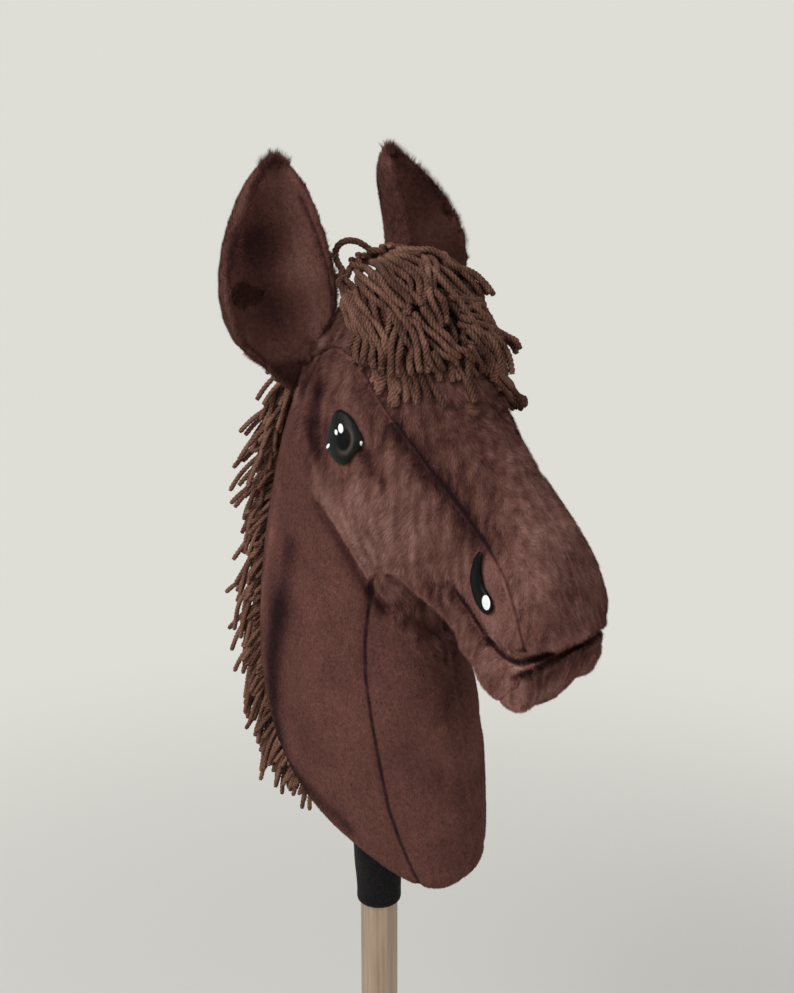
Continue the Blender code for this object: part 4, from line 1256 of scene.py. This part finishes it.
def knitted_cuff(finish):
    """A black rib-knit cuff: a tube with a turned-in hem that widens up into the neck."""
    low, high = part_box("stick_cuff")
    low.z += HEM_RISE
    tall = high.z - low.z
    widening = (high.x - low.x) / 2 - TUBE_TOP_INSET - TUBE_FROM
    form = bmesh.new()
    ring = [form.verts.new((r * MM, 0, low.z + z * MM)) for r, z in HEM]
    for step in range(1, TUBE_RINGS + 1):
        t = step / TUBE_RINGS
        radius = TUBE_FROM + widening * t ** 1.25
        ring.append(form.verts.new((radius, 0, low.z + 6 * MM + (tall - 7 * MM) * t)))
    edges = [form.edges.new(pair) for pair in zip(ring, ring[1:])]
    bmesh.ops.spin(
        form, geom=ring + edges, axis=(0, 0, 1), cent=(0, 0, 0), steps=72, angle=2 * math.pi, use_merge=True
    )
    bmesh.ops.remove_doubles(form, verts=form.verts, dist=1e-6)
    for vert in form.verts:
        turn = math.atan2(vert.co.y, vert.co.x)
        height = (vert.co.z - low.z) / tall
        broad = 0.55 * math.sin(5 * turn + 9 * height)
        narrow = 0.3 * math.sin(11 * turn - 14 * height)
        fold = (broad + narrow) * height * MM
        vert.co.x += fold * math.cos(turn)
        vert.co.y += fold * math.sin(turn)
    bmesh.ops.recalc_face_normals(form, faces=form.faces)
    # Spin lists its faces in another order each run. This sorts them by lowest corner, then by mean corner.
    form.verts.index_update()
    count = len(form.verts)
    form.faces.sort(
        key=lambda face: min(v.index for v in face.verts) * count + sum(v.index for v in face.verts) / 4
    )
    piece = show_form(form, "knitted_cuff", finish)
    smooth(piece.data)
    return piece


def seen_rays(finish):
    """1 for a ray from the camera, a mirror or glass, and 0 for a ray that carries light."""
    ray = add(finish, "LightPath")
    one = add(
        finish,
        "Math",
        {0: ray.outputs["Is Camera Ray"], 1: ray.outputs["Is Glossy Ray"]},
        operation="ADD",
    )
    both = add(
        finish,
        "Math",
        {0: one, 1: ray.outputs["Is Transmission Ray"]},
        operation="ADD",
        use_clamp=True,
    )
    return both


def pale_paper():
    """Seamless background paper: matt and lit near the object, where its shadow lies, then even."""
    finish, place = new_material("pale_paper")
    shader = add(
        finish,
        "BsdfPrincipled",
        {"Base Color": rgb(BACKDROP), "Roughness": 1.0, "Specular IOR Level": 0.0},
    )
    even = add(finish, "Emission", {"Color": rgb(BACKDROP), "Strength": 1.0})
    far = add(finish, "VectorMath", {0: place}, operation="LENGTH")
    share = add(
        finish,
        "MapRange",
        {"Value": far.outputs["Value"], "From Min": 0.5, "From Max": 1.5},
        interpolation_type="SMOOTHSTEP",
    )
    seen = add(finish, "Math", {0: share, 1: seen_rays(finish)}, operation="MULTIPLY")
    both = add(finish, "MixShader", {0: seen, 1: shader, 2: even})
    add(finish, "OutputMaterial", {"Surface": both})
    return finish


def set_stage():
    """The camera, and a pale floor in soft light from a wide window on the camera's left."""
    scene = bpy.context.scene
    scene.view_settings.view_transform = "Standard"
    lens = bpy.data.cameras.new("camera")
    lens.sensor_width = SENSOR
    lens.lens = FOCAL_LENGTH_PX / max(PHOTO_WIDE, PHOTO_HIGH) * SENSOR
    lens.clip_start = 0.01
    camera = bpy.data.objects.new("camera", lens)
    camera.location = CAMERA_PLACE
    camera.rotation_euler = camera_turn().to_euler()
    scene.collection.objects.link(camera)
    scene.camera = camera

    world = bpy.data.worlds.new("daylight")
    scene.world = world
    world.use_nodes = True
    world.node_tree.nodes.clear()
    light = add(world, "Background", {"Color": rgb("#F2F3F5"), "Strength": WORLD_LIGHT})
    beyond = add(world, "Background", {"Color": rgb(BACKDROP), "Strength": 1.0})
    both = add(world, "MixShader", {0: seen_rays(world), 1: light, 2: beyond})
    add(world, "OutputWorld", {"Surface": both})

    sweep = bmesh.new()
    bmesh.ops.create_grid(sweep, x_segments=1, y_segments=1, size=12.0)
    show_form(sweep, "floor", pale_paper())
    for name, place, size, watts, colour in LAMPS:
        lamp = bpy.data.lights.new(name, "AREA")
        lamp.size = size
        lamp.energy = watts
        lamp.color = rgb(colour)[:3]
        made = bpy.data.objects.new(name, lamp)
        made.location = place
        aim = LIT_PLACE - Vector(place)
        made.rotation_euler = aim.to_track_quat("-Z", "Y").to_euler()
        scene.collection.objects.link(made)


def build_head():
    seams = tree_of(seam_points())
    piece = stuffed_head(plush_skin(), seams)
    away = sew(piece, seams)
    base = surface(piece)
    points = numbers(piece.data, "co")
    normals = numbers(piece.data, "normal")
    set_points(piece.data, points - normals * (brushed(points, FOLDS, base) * MM)[:, None])
    relaxed(piece.data, 2)
    base = surface(piece)
    values = pile_values(piece, base, away)
    smooth(piece.data)
    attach(piece, "head")
    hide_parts(*HEAD_SOLIDS, "stick_sleeve")
    finishes = pile_finishes()
    points = numbers(piece.data, "co")
    clear = (away > SEAM_BARE) & (values["mouth"] < 0.6) & (points[:, 2] > PILE_FROM)
    on_head = values["head"] > 0.5
    right = points[:, 0] < 0
    for name, region, per_mm2, width, lean, streaked in (
        ("head_pile_right", on_head & right, 3.4, 0.36, 24, 0.28),
        ("head_pile_left", on_head & ~right, 3.4, 0.36, 24, 0.28),
        ("neck_pile_right", ~on_head & right, 2.4, 0.32, 15, 0.07),
        ("neck_pile_left", ~on_head & ~right, 2.4, 0.32, 15, 0.07),
    ):
        pile = nap(name, piece, values, finishes, per_mm2, width, lean, clear & region, streaked=streaked)
        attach(pile, "head")
    return piece, base, finishes


def build_ears(finish, finishes):
    for side in ("right", "left"):
        piece, values = sewn_ear(side, finish)
        pile = nap(f"ear_pile_{side}", piece, values, finishes, 4.0, 0.34, 20, streaked=0.16)
        fuzz = ear_edge_fuzz(f"ear_fuzz_{side}", piece, values, finishes)
        for part in (piece, pile, fuzz):
            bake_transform(part)
        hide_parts(f"ear_outer_{side}", f"ear_inner_{side}")


def build_eyes(skin):
    (low, _), (high, _) = (seen_at(skin, *place) for place in NOSTRIL_SHIFT)
    rise = high - low
    black = gloss_black()
    white = white_paint()
    domes = {}
    for kind in ("nostril", "eye"):
        for side in ("left", "right"):
            node = f"{kind}_{side}"
            dome = moulded(f"moulded_{node}", node, black, rise if kind == "nostril" else (0, 0, 0))
            points = numbers(dome.data, "co")
            attribute(dome.data, "paint", printed_iris(points) if kind == "eye" else np.zeros(len(points)))
            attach(dome, "head")
            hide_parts(node)
            domes[kind] = surface(dome)
    for index, (kind, centre, wide, high, tilt) in enumerate(HIGHLIGHTS):
        spot = painted_spot(f"highlight_{index}_right", domes[kind], centre, wide, high, tilt, white)
        for part in (spot, other_side(spot, f"highlight_{index}_left")):
            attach(part, "head")


def build_yarn(skin):
    finish = yarn_finish()
    brow = surface_of(["forelock_fringe"])
    strands = forelock_strands(skin, brow)
    forelock = yarn_piece("forelock_yarn", strands, finish, FORELOCK_YARN, brow)
    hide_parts("forelock_fringe", "forelock_tape")
    nape = surface_of(["mane_fringe"])
    strands = lock_strands(brow) + [loop_strand(brow, LOOP)]
    locks = yarn_piece("forelock_locks", strands, finish, FORELOCK_YARN, brow)
    strands = mane_strands(skin, nape)
    halves = [[s for s in strands if (s[-1][0] < 0) == first] for first in (True, False)]
    mane_right = yarn_piece("mane_yarn_right", halves[0], finish, MANE_YARN, nape)
    mane_left = yarn_piece("mane_yarn_left", halves[1], finish, MANE_YARN, nape)
    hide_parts("mane_fringe", "mane_tape")
    for piece in (forelock, locks, mane_right, mane_left):
        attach(piece, "head")


def build_stick():
    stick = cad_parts["stick"]
    stick.data.materials.clear()
    stick.data.materials.append(wood())
    cuff = knitted_cuff(black_knit())
    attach(cuff, "head")
    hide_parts("stick_cuff")


set_stage()
head, skin, pile_tones = build_head()
build_ears(head.data.materials[0], pile_tones)
build_yarn(skin)
build_eyes(skin)
build_stick()
